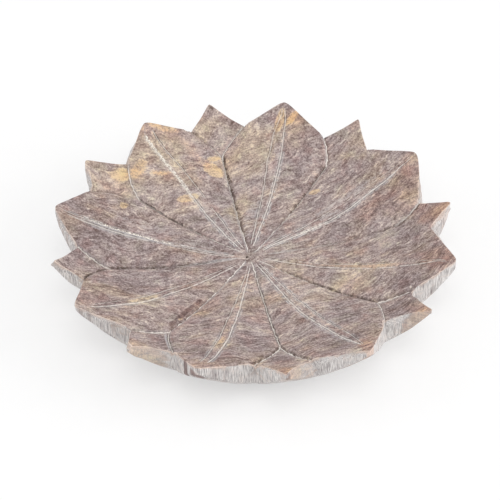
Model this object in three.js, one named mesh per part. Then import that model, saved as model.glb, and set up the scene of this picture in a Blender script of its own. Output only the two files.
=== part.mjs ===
import * as THREE from 'three';
import { mergeVertices } from 'three/addons/utils/BufferGeometryUtils.js';

// Incense dish carved from one block of soapstone as an open lotus, in millimetres.
// The origin is on the flat base below the point that the petals were set out from, +Z is up, and
// +Y runs through the first main petal.

// Whole dish
const PETAL_COUNT = 8;
const REACH = 60;
const DISH_RISE = 11;
const FLOOR_THICKNESS = 8;
const DISH_POWER = 2.3;

// Underside: a flat base, then a curve that steepens out to the thin tips. It was ground on the
// blank's own centre, a little to the right of the point that the petals were set out from.
const BLANK_CENTRE = new THREE.Vector2(1.6, 0.6);
const BASE_RADIUS = 0.635 * REACH;
const TIP_THICKNESS = 2.8;
const THINNEST_TIP = 1.5;
const RIM_UNDERSIDE = FLOOR_THICKNESS + DISH_RISE - TIP_THICKNESS;
const UNDERSIDE_BEND = 0.15 * RIM_UNDERSIDE;

// Plan of the petals: a border leaves its neighbour at the fork and meets the rim at the notch
const PETAL_STEP = 360 / PETAL_COUNT;
const FORK_RADIUS = 0.69 * REACH;
const NOTCH_RADIUS = 0.875 * REACH;
const NOTCH_ANGLE = 0.307 * PETAL_STEP;
const BORDER_ARRIVAL = 28;
const FORK_EASE = 0.2;
const NOTCH_EASE = 0.35;
const PETAL_HOLLOW = 0;
const BACK_HOLLOW = 0.25;

// Relief of the petals
const CROWN = 1.6;
const CROWN_SKEW = 1.6;
const CROWN_POWER = 1.5;
const BACK_DROP_FORK = 2.5;
const BACK_DROP_TIP = 0.9;

// Carved lines, full size where a half petal is at least as wide as its detail width
const DETAIL_WIDTH = 8;
const BACK_DETAIL_WIDTH = 3;
const RIB_WIDTH = 2.6;
const SCRIBE_WIDTH = 0.5;
const SCRIBE_DEPTH = 0.3;
const GROOVE_WIDTH = 1;
const GROOVE_DEPTH = 0.8;
const GROOVE_FULL_RADIUS = 16;
const BEVEL_WIDTH = 1.5;
const BEVEL_DROP = 0.3;
const RIM_CHAMFER = 0.4;
const NICK_WIDTH = 0.7;
const NICK_DEPTH = 1.6;

// Compass prick a little off the centre, and the ring where the carved lines start
const PRICK_CENTRE = new THREE.Vector2(-1, -0.3);
const PRICK_RADIUS = 0.6;
const PRICK_DEPTH = 0.5;
const HUB_SHARE = 0.085;

// Where the rows of the surface lie: along a border as shares of the fork radius, along a flank as
// shares of the way still to go to the tip, and on the underside as shares of the way in to the base
const BORDER_ROWS = [HUB_SHARE, 0.17, 0.27, 0.39, 0.51, 0.63, 0.76, 0.88, 1];
const SHOULDER_STEPS = 4;
const FLANK_ROWS = [0.74, 0.5, 0.27, 0.1, 0];
const UNDERSIDE_ROWS = [0.3, 0.65, 1];

// Wander of the hand carving, clockwise from the first petal. A point's pair says how many
// millimetres it lies beyond its even place, and how many degrees anticlockwise of it. nose is the
// bluntness of the tip, and bow how far the midrib swings to the right of a straight line.
const PETALS = [
  { tip: [0, 1.5], left: [0.5, 0], right: [0, 0], nose: 1.2, bow: 0 },
  { tip: [0.5, 0.5], left: [1.5, 1], right: [1, -1.5], nose: 1.8, bow: 0.5 },
  { tip: [1.5, -2.5], left: [1, 3], right: [-1, 0.5], nose: 1, bow: -0.7 },
  { tip: [2, -0.5], left: [0, 0.5], right: [2.5, 0.5], nose: 0.4, bow: 0.6 },
  { tip: [-1, -2.5], left: [-1.5, -0.5], right: [-1.5, 0.5], nose: 0.5, bow: -2 },
  { tip: [-1, -0.5], left: [-2.5, 0], right: [-2, -2], nose: 1, bow: -1.7 },
  { tip: [-1, 1], left: [-1.5, -0.5], right: [1, 1], nose: 1, bow: -0.7 },
  { tip: [-0.5, 0], left: [-0.5, -0.5], right: [1, 1], nose: 1.2, bow: 0.5 },
];
const BACK_PETALS = [
  { tip: [1, 1], fork: [2, 2], nose: 0.8 },
  { tip: [1, 0.5], fork: [2, 1], nose: 0.5 },
  { tip: [2.5, 0], fork: [1.5, 1.5], nose: 0.6 },
  { tip: [0.5, -1], fork: [0, 1], nose: 0.4 },
  { tip: [-1, -1.5], fork: [-0.5, 0.5], nose: 0.8 },
  { tip: [-1.5, 0.5], fork: [0, 0], nose: 1 },
  { tip: [0, 1], fork: [-1, 0], nose: 1.8 },
  { tip: [0.5, 1.5], fork: [0.5, 1], nose: 0.7 },
];

const STONE_COLOUR = 0xa09187;
const STONE_ROUGHNESS = 0.75;

const ORIGIN = new THREE.Vector2(0, 0);

// Point in plan at a radius and a bearing in degrees anticlockwise from +X
function polar(radius, degrees) {
  return new THREE.Vector2(radius, 0).rotateAround(ORIGIN, THREE.MathUtils.degToRad(degrees));
}

// Point in plan near its even place, moved by one entry of the carving's wander
function carvedPoint(radius, degrees, [further, turned]) {
  return polar(radius + further, degrees + turned);
}

// Height of the dish along the midribs
function dishHeight(radius) {
  return FLOOR_THICKNESS + DISH_RISE * (radius / REACH) ** DISH_POWER;
}

// How far a petal's border lies below its midrib
function crownDrop(radius) {
  const share = Math.min(1, radius / REACH);
  return CROWN * Math.sin(Math.PI * share ** CROWN_SKEW);
}

// Height of the petal's edge beside a border
function borderEdge(radius) {
  return dishHeight(radius) - crownDrop(radius);
}

// Height of the underside, a surface of revolution about the blank's centre
function undersideHeight(radius) {
  const share = (radius - BASE_RADIUS) / (REACH - BASE_RADIUS);
  return share * (2 * (1 - share) * UNDERSIDE_BEND + share * RIM_UNDERSIDE);
}

// One station of a border or flank: its plan point, the edge height beside it and its own height
function station(point, edge, height) {
  return { point, edge, height };
}

// Border of a petal from the hub out to its notch, along the bottom of the groove
function borderStations(fork, notch, tip, side) {
  const along = BORDER_ROWS.map((share) => fork.clone().multiplyScalar(share));
  const lead = fork.distanceTo(notch);
  const arrival = tip.clone().normalize();
  arrival.rotateAround(ORIGIN, THREE.MathUtils.degToRad(side * BORDER_ARRIVAL));
  const shoulder = new THREE.CubicBezierCurve(
    fork,
    fork.clone().addScaledVector(fork.clone().normalize(), FORK_EASE * lead),
    notch.clone().addScaledVector(arrival, -NOTCH_EASE * lead),
    notch,
  );
  along.push(...shoulder.getPoints(SHOULDER_STEPS).slice(1));
  return along.map((point) => {
    const edge = borderEdge(point.length());
    const taper = Math.min(1, point.length() / GROOVE_FULL_RADIUS);
    const depth = (GROOVE_DEPTH + BEVEL_DROP) * taper;
    const atNotch = point.equals(notch);
    return station(point, edge, edge - (atNotch ? NICK_DEPTH : depth));
  });
}

// Rim of a petal from its notch to its tip: the width shrinks to a rounded nose, and a hollow flank
// draws in sooner. edgeHeight gives the edge from the radius and the share of the width that is left.
function flankStations(notch, tip, nose, hollow, edgeHeight) {
  const axis = tip.clone().normalize();
  const foot = axis.clone().multiplyScalar(notch.dot(axis));
  const side = notch.clone().sub(foot);
  const back = foot.clone().sub(tip);
  const blunt = nose / back.length();
  const nick = 1 - NICK_WIDTH / notch.distanceTo(tip);
  return [nick, ...FLANK_ROWS].map((left) => {
    const full = Math.sqrt((left + blunt) ** 2 - blunt ** 2) / Math.sqrt((1 + blunt) ** 2 - blunt ** 2);
    const width = full * (1 - hollow + hollow * full);
    const point = tip.clone().addScaledVector(back, left).addScaledVector(side, width);
    const edge = edgeHeight(point.length(), width);
    return station(point, edge, edge - RIM_CHAMFER * width);
  });
}

// Offsets from the midrib out to the border, each with its depth below the crowned surface
function petalOffsets(width, onFlank) {
  const size = Math.min(1, width / DETAIL_WIDTH);
  const rib = 0.5 * RIB_WIDTH * size;
  const field = rib + SCRIBE_WIDTH * size;
  const edge = width - (onFlank ? RIM_CHAMFER : 0.5 * GROOVE_WIDTH) * size;
  const bevel = edge - BEVEL_WIDTH * size;
  const bevelDrop = onFlank ? 0 : BEVEL_DROP * size;
  return [
    { at: 0, depth: 0 },
    { at: rib, depth: 0 },
    { at: 0.5 * (rib + field), depth: SCRIBE_DEPTH * size },
    { at: field, depth: 0 },
    { at: THREE.MathUtils.lerp(field, bevel, 1 / 3), depth: 0 },
    { at: THREE.MathUtils.lerp(field, bevel, 2 / 3), depth: 0 },
    { at: bevel, depth: 0 },
    { at: edge, depth: bevelDrop },
  ];
}

// Offsets of a back petal, which is plain from its middle to the groove or rim
function backOffsets(width, onFlank) {
  const size = Math.min(1, width / BACK_DETAIL_WIDTH);
  const edge = width - (onFlank ? RIM_CHAMFER : 0.5 * GROOVE_WIDTH) * size;
  return [
    { at: 0, depth: 0 },
    { at: 0.5 * edge, depth: 0 },
    { at: edge, depth: 0 },
  ];
}

// Solid point from a plan point and a height
function lift(point, height) {
  return new THREE.Vector3(point.x, point.y, height);
}

// Half of one row, from the midrib out to a border or flank station
function halfRow(middle, outer, offsets, heightAt) {
  const width = middle.distanceTo(outer.point);
  const row = offsets(width).map(({ at, depth }) => {
    const share = width > 0 ? at / width : 0;
    const point = middle.clone().lerp(outer.point, share);
    return lift(point, heightAt(point, share, outer) - depth);
  });
  row.push(lift(outer.point, outer.height));
  return row;
}

// Rows of a petal from its left station to its right one, all bent at the midrib
function petalRows({ left, right, tip, bow }, offsets, heightAt, flankStart) {
  const axis = tip.clone().normalize();
  const rightward = new THREE.Vector2(axis.y, -axis.x);
  return left.map((leftStation, index) => {
    const rightStation = right[index];
    const reach = 0.5 * (leftStation.point.dot(axis) + rightStation.point.dot(axis));
    const share = reach / tip.length();
    const swing = 4 * bow * share * (1 - share);
    const middle = axis.clone().multiplyScalar(reach).addScaledVector(rightward, swing);
    const spacing = (width) => offsets(width, index >= flankStart);
    const leftHalf = halfRow(middle, leftStation, spacing, heightAt);
    const rightHalf = halfRow(middle, rightStation, spacing, heightAt);
    return [...leftHalf.reverse(), ...rightHalf.slice(1)];
  });
}

// Main petal surface: crowned from the midrib down to the edge height of its station
function crownedHeight(point, share, outer) {
  const rib = dishHeight(point.length());
  const drop = dishHeight(outer.point.length()) - outer.edge;
  return rib - drop * share ** CROWN_POWER;
}

// Back petal surface for one fork and tip: lowest at the fork, nearly level with the dish at the tip
function backHeight(fork, tip) {
  return (radius) => {
    const share = (radius - fork.length()) / (tip.length() - fork.length());
    return dishHeight(radius) - THREE.MathUtils.lerp(BACK_DROP_FORK, BACK_DROP_TIP, share);
  };
}

// Plan points of one main petal and of the back petal on its right
function planOf(index) {
  const middle = 90 - index * PETAL_STEP;
  const wander = PETALS[index % PETALS.length];
  const backWander = BACK_PETALS[index % BACK_PETALS.length];
  return {
    nose: wander.nose,
    bow: wander.bow,
    tip: carvedPoint(REACH, middle, wander.tip),
    leftNotch: carvedPoint(NOTCH_RADIUS, middle + NOTCH_ANGLE, wander.left),
    rightNotch: carvedPoint(NOTCH_RADIUS, middle - NOTCH_ANGLE, wander.right),
    backNose: backWander.nose,
    backTip: carvedPoint(REACH, middle - 0.5 * PETAL_STEP, backWander.tip),
    fork: carvedPoint(FORK_RADIUS, middle - 0.5 * PETAL_STEP, backWander.fork),
  };
}

// Borders and flanks of one main petal
function mainPetal(plan, leftFork) {
  const edgeHeight = (radius, width) => dishHeight(radius) - crownDrop(NOTCH_RADIUS) * width;
  const flank = (notch) => flankStations(notch, plan.tip, plan.nose, PETAL_HOLLOW, edgeHeight);
  const leftBorder = borderStations(leftFork, plan.leftNotch, plan.tip, -1);
  const rightBorder = borderStations(plan.fork, plan.rightNotch, plan.tip, 1);
  const left = [...leftBorder, ...flank(plan.leftNotch)];
  const right = [...rightBorder, ...flank(plan.rightNotch)];
  return { left, right, leftBorder, rightBorder, tip: plan.tip, bow: plan.bow };
}

// Borders and flanks of the back petal between two main ones
function backPetal(plan, petal, nextPlan, nextPetal) {
  const edgeHeight = backHeight(plan.fork, plan.backTip);
  const { backTip, backNose } = plan;
  const flank = (notch) => flankStations(notch, backTip, backNose, BACK_HOLLOW, edgeHeight);
  const forkRow = BORDER_ROWS.length - 1;
  const left = [...petal.rightBorder.slice(forkRow), ...flank(plan.rightNotch)];
  const right = [...nextPetal.leftBorder.slice(forkRow), ...flank(nextPlan.leftNotch)];
  return { left, right, tip: plan.backTip, bow: 0 };
}

// Rim from the left notch over the tip and down to the right notch, without the last point
function rimRun({ left, right }) {
  const start = left.length - FLANK_ROWS.length - 2;
  const up = left.slice(start);
  const down = right.slice(start, -1).reverse();
  return [...up, ...down].slice(0, -1).map(({ point, height }) => lift(point, height));
}

// Middle of the dish: a prick hole, and a fan out to the petal's first row
function hubRows(firstRow, plan, leftFork) {
  const ring = (point) => {
    const offset = point.clone().setLength(PRICK_RADIUS);
    return lift(offset.add(PRICK_CENTRE), FLOOR_THICKNESS);
  };
  const middle = (firstRow.length - 1) / 2;
  const inner = firstRow.map((_, column) => {
    if (Math.abs(column - middle) <= 0.5 * middle) return ring(plan.tip);
    return ring(column < middle ? leftFork : plan.fork);
  });
  const pit = firstRow.map(() => lift(PRICK_CENTRE, FLOOR_THICKNESS - PRICK_DEPTH));
  return [pit, inner, firstRow];
}

// Rim wall, curved underside and flat base, as loops that follow the rim
function underRows(rim) {
  const wall = rim.map(({ x, y, z }) => {
    const floor = undersideHeight(BLANK_CENTRE.distanceTo({ x, y }));
    return new THREE.Vector3(x, y, Math.min(floor, z - THINNEST_TIP));
  });
  const rows = UNDERSIDE_ROWS.map((share) => rim.map(({ x, y }) => {
    const arm = new THREE.Vector2(x, y).sub(BLANK_CENTRE);
    const radius = THREE.MathUtils.lerp(arm.length(), BASE_RADIUS, share);
    return lift(arm.setLength(radius).add(BLANK_CENTRE), undersideHeight(radius));
  }));
  const centre = rim.map(() => lift(BLANK_CENTRE, 0));
  return [rim, wall, ...rows, centre].map((row) => [...row, row[0]]);
}

// Adds two triangles between each pair of neighbours in two rows, leaving out any with no area
function addPatch(triangles, rows) {
  const add = (a, b, c) => {
    if (!a.equals(b) && !b.equals(c) && !c.equals(a)) triangles.push(a, b, c);
  };
  for (let row = 1; row < rows.length; row += 1) {
    for (let column = 1; column < rows[row].length; column += 1) {
      const [near, nearNext] = [rows[row - 1][column - 1], rows[row - 1][column]];
      const [far, farNext] = [rows[row][column - 1], rows[row][column]];
      add(near, nearNext, farNext);
      add(near, farNext, far);
    }
  }
}

// The whole carved stone as one closed surface
function stoneGeometry() {
  const indices = Array.from({ length: PETAL_COUNT }, (_, index) => index);
  const before = (index) => (index + PETAL_COUNT - 1) % PETAL_COUNT;
  const after = (index) => (index + 1) % PETAL_COUNT;
  const plans = indices.map(planOf);
  const petals = indices.map((index) => mainPetal(plans[index], plans[before(index)].fork));
  const backs = indices.map((index) => {
    const next = after(index);
    return backPetal(plans[index], petals[index], plans[next], petals[next]);
  });
  const triangles = [];
  const flankStart = BORDER_ROWS.length + SHOULDER_STEPS;
  for (const index of indices) {
    const plan = plans[index];
    const rows = petalRows(petals[index], petalOffsets, crownedHeight, flankStart);
    addPatch(triangles, rows);
    addPatch(triangles, hubRows(rows[0], plan, plans[before(index)].fork));
    const surface = backHeight(plan.fork, plan.backTip);
    const heightAt = (point) => surface(point.length());
    addPatch(triangles, petalRows(backs[index], backOffsets, heightAt, SHOULDER_STEPS + 1));
  }
  const rim = indices.flatMap((index) => [...rimRun(petals[index]), ...rimRun(backs[index])]);
  addPatch(triangles, underRows(rim));
  const soup = new THREE.BufferGeometry().setFromPoints(triangles);
  const geometry = mergeVertices(soup, 1e-4);
  geometry.computeVertexNormals();
  return geometry;
}

const stone = new THREE.MeshStandardMaterial({
  color: STONE_COLOUR,
  roughness: STONE_ROUGHNESS,
  metalness: 0,
});
const dish = new THREE.Mesh(stoneGeometry(), stone);
dish.name = 'lotus_dish';

const object = new THREE.Group();
object.add(dish);

export default object;
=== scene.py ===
"""A lotus incense dish carved from one piece of mottled soapstone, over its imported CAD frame.

The CAD solid gives the size and the plan. This script cuts the same plan again on a fine grid, with
the scribed midribs, bevels, grooves, chips and file marks of the hand carving, and gives it a
layered stone finish. The dish's sizes are in millimetres, and its mesh is brought to metres once,
as it is made. The studio's sizes are in metres.
"""

import logging
import math
from dataclasses import dataclass, fields
from enum import Enum, IntEnum
from typing import Any, Sequence, Union

import bpy
import numpy as np
from mathutils import Matrix, Vector


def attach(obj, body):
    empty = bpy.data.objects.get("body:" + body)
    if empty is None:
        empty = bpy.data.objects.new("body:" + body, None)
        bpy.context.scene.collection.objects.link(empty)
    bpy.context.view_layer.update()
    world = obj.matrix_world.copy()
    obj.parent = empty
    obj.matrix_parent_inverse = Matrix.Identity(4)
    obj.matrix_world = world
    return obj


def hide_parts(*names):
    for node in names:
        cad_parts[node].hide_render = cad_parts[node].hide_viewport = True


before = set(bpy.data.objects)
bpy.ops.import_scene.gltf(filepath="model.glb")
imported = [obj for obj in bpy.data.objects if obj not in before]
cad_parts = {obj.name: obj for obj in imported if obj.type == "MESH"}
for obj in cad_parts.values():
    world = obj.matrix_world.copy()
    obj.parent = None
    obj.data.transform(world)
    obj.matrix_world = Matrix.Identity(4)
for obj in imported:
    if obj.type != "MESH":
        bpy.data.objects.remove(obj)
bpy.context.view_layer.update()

Array = np.ndarray
Colour = tuple[float, float, float]
Pair = tuple[float, float]
Table = tuple[float, float, float, float, float, float]

MM = 0.001
TINY = 1e-9
WHITE = (1.0, 1.0, 1.0, 1.0)
FAR = 9.0  # millimetres at which a line or groove no longer matters
PETAL_COUNT = 8
PETAL_STEP = 360.0 / PETAL_COUNT

# Large odd numbers that scatter the bits of a lattice cell
CELL_PRIMES = (73856093, 19349663, 83492791)
SEED_PRIME = 2654435761
SEED_START = 97
MIXERS = (0x2C1B3C6D, 0x297A2D39)
MIX_SHIFTS = (15, 12)
KEPT_BITS = 0xFFFFFF

log = logging.getLogger("lotus_dish")


# Plane and noise helpers


def polar(radius: float, degrees: float) -> Array:
    """Plan point at a radius and a bearing in degrees anticlockwise from +X."""
    angle = math.radians(degrees)
    return radius * np.array([math.cos(angle), math.sin(angle)])


def unit(vector: Array) -> Array:
    """The vector, or each vector along the last axis, brought to length one."""
    return vector / np.maximum(np.linalg.norm(vector, axis=-1, keepdims=True), TINY)


def smooth(share: Array) -> Array:
    """Smooth step 3t² - 2t³ of a share held between 0 and 1."""
    t = np.clip(share, 0.0, 1.0)
    return t * t * (3.0 - 2.0 * t)


def raised(plan: Array, height: Array) -> Array:
    """Points in space, from plan points and their heights."""
    return np.concatenate([plan, height[..., None]], axis=-1)


class Seed(IntEnum):
    """Which lattice of random values a noise reads."""

    SWAY_X = 1
    SWAY_Y = 2
    SWELL = 3
    TOOL = 4
    FLAKE = 5
    FILE = 11
    FACET = 12
    RIPPLE = 13


def lattice_value(cells: Array, seed: int) -> Array:
    """Even scatter of values from 0 to 1, one for each whole-number lattice cell.

    Each coordinate is multiplied by a large prime, the three are joined by exclusive or with the
    seed, and rounds of shift and multiply spread the bits.

    Args:
        cells: whole-number lattice points, with three numbers along the last axis.
        seed: picks one of many scatters.

    Returns:
        One value for each lattice point.
    """
    whole = cells.astype(np.int64).astype(np.uint64)
    mixed = np.full(cells.shape[:-1], seed * SEED_PRIME + SEED_START, dtype=np.uint64)
    for axis, prime in enumerate(CELL_PRIMES):
        mixed ^= whole[..., axis] * np.uint64(prime)
    for shift, mixer in zip(MIX_SHIFTS, MIXERS):
        mixed ^= mixed >> np.uint64(shift)
        mixed *= np.uint64(mixer)
    mixed ^= mixed >> np.uint64(MIX_SHIFTS[0])
    return (mixed & np.uint64(KEPT_BITS)).astype(float) / float(KEPT_BITS)


def noise(points: Array, cell: float, seed: int) -> Array:
    """Smooth noise from -1 to 1 at points in space.

    Each point takes the scattered values of the eight corners of its lattice cell, weighted along
    each axis by 3t² - 2t³ of its place t in the cell.

    Args:
        points: places in millimetres, with three numbers along the last axis.
        cell: width of a lattice cell in millimetres.
        seed: picks one of many scatters.

    Returns:
        One value for each point.
    """
    scaled = points / cell
    base = np.floor(scaled)
    place = smooth(scaled - base)
    total = np.zeros(points.shape[:-1])
    for corner in np.ndindex(2, 2, 2):
        step = np.array(corner)
        weight = np.prod(np.where(step == 1, place, 1.0 - place), axis=-1)
        total += weight * lattice_value(base + step, seed)
    return 2.0 * total - 1.0


# What the mesh tells the stone's finish


class Mark(Enum):
    """Facts that the mesh carries at each point, named as its attributes."""

    LINE = "line"  # millimetres from the nearest scribed line, less than nothing inside the midrib
    CHALK = "chalk"  # how white the dust in that line is
    GROOVE = "groove"  # millimetres to the nearest groove between petals
    FILL = "fill"  # how white the dust in that groove is
    DIRT = "dirt"  # how dark that groove's walls are, as dirt and painted shade
    HAND = "hand"  # 1 where the clockwise wall takes the dirt and painted shade, -1 where the other does
    LEAN = "lean"  # 1 where the clockwise wall is the dirty one, -1 where the other is
    RIM = "rim"  # millimetres in from the rim on the top, and less than nothing below it
    UNDER = "under"  # 0 on the top and walls, 1 on the underside
    WARM = "warm"  # warm stone between the two lines of a midrib
    DUST = "dust"  # pale dust rubbed into the stone
    PEAT = "peat"  # dark brown veins on the walls
    SPOT = "spot"  # dark brown spots on the top
    FACET = "facet"  # how far the file slanted the rim in over the top, in millimetres
    OCHRE = "ochre"  # iron-yellow patches
    RUST = "rust"  # red-brown patches
    BEIGE = "beige"  # warmer, lighter stone
    SLATE = "slate"  # darker, greyer stone
    SHADE = "shade"  # darker patches of the same hue


@dataclass(frozen=True)
class Blotch:
    """One oval patch of colour in the stone, in plan, in millimetres and degrees.

    x and y are its middle, long and wide its half lengths, and turn the bearing of the long one.
    edge is the width of its faded edge as a share. A patch with a depth shows only near its level.
    """

    x: float
    y: float
    long: float
    wide: float
    strength: float
    turn: float = 0.0
    edge: float = 1.2
    level: float = 0.0
    depth: float = 1000.0

    def cover(self, points: Array) -> Array:
        """How strongly the patch shows at each point.

        It is full inside the oval and fades by a smooth step over its edge, and the same over its
        depth above and below its level.

        Args:
            points: places in millimetres.

        Returns:
            One share for each point, up to the patch's strength.
        """
        angle = math.radians(self.turn)
        arm = points[:, :2] - np.array([self.x, self.y])
        along = arm[:, 0] * math.cos(angle) + arm[:, 1] * math.sin(angle)
        across = arm[:, 1] * math.cos(angle) - arm[:, 0] * math.sin(angle)
        spread = np.hypot(along / self.long, across / self.wide)
        upright = smooth(1.5 - np.abs(points[:, 2] - self.level) / self.depth)
        return self.strength * upright * smooth((1.0 + 0.5 * self.edge - spread) / self.edge)


def blotches(*rows: tuple[float, ...]) -> tuple[Blotch, ...]:
    """One blotch for each row, which gives its fields in their order."""
    return tuple(Blotch(*row) for row in rows)


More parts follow.
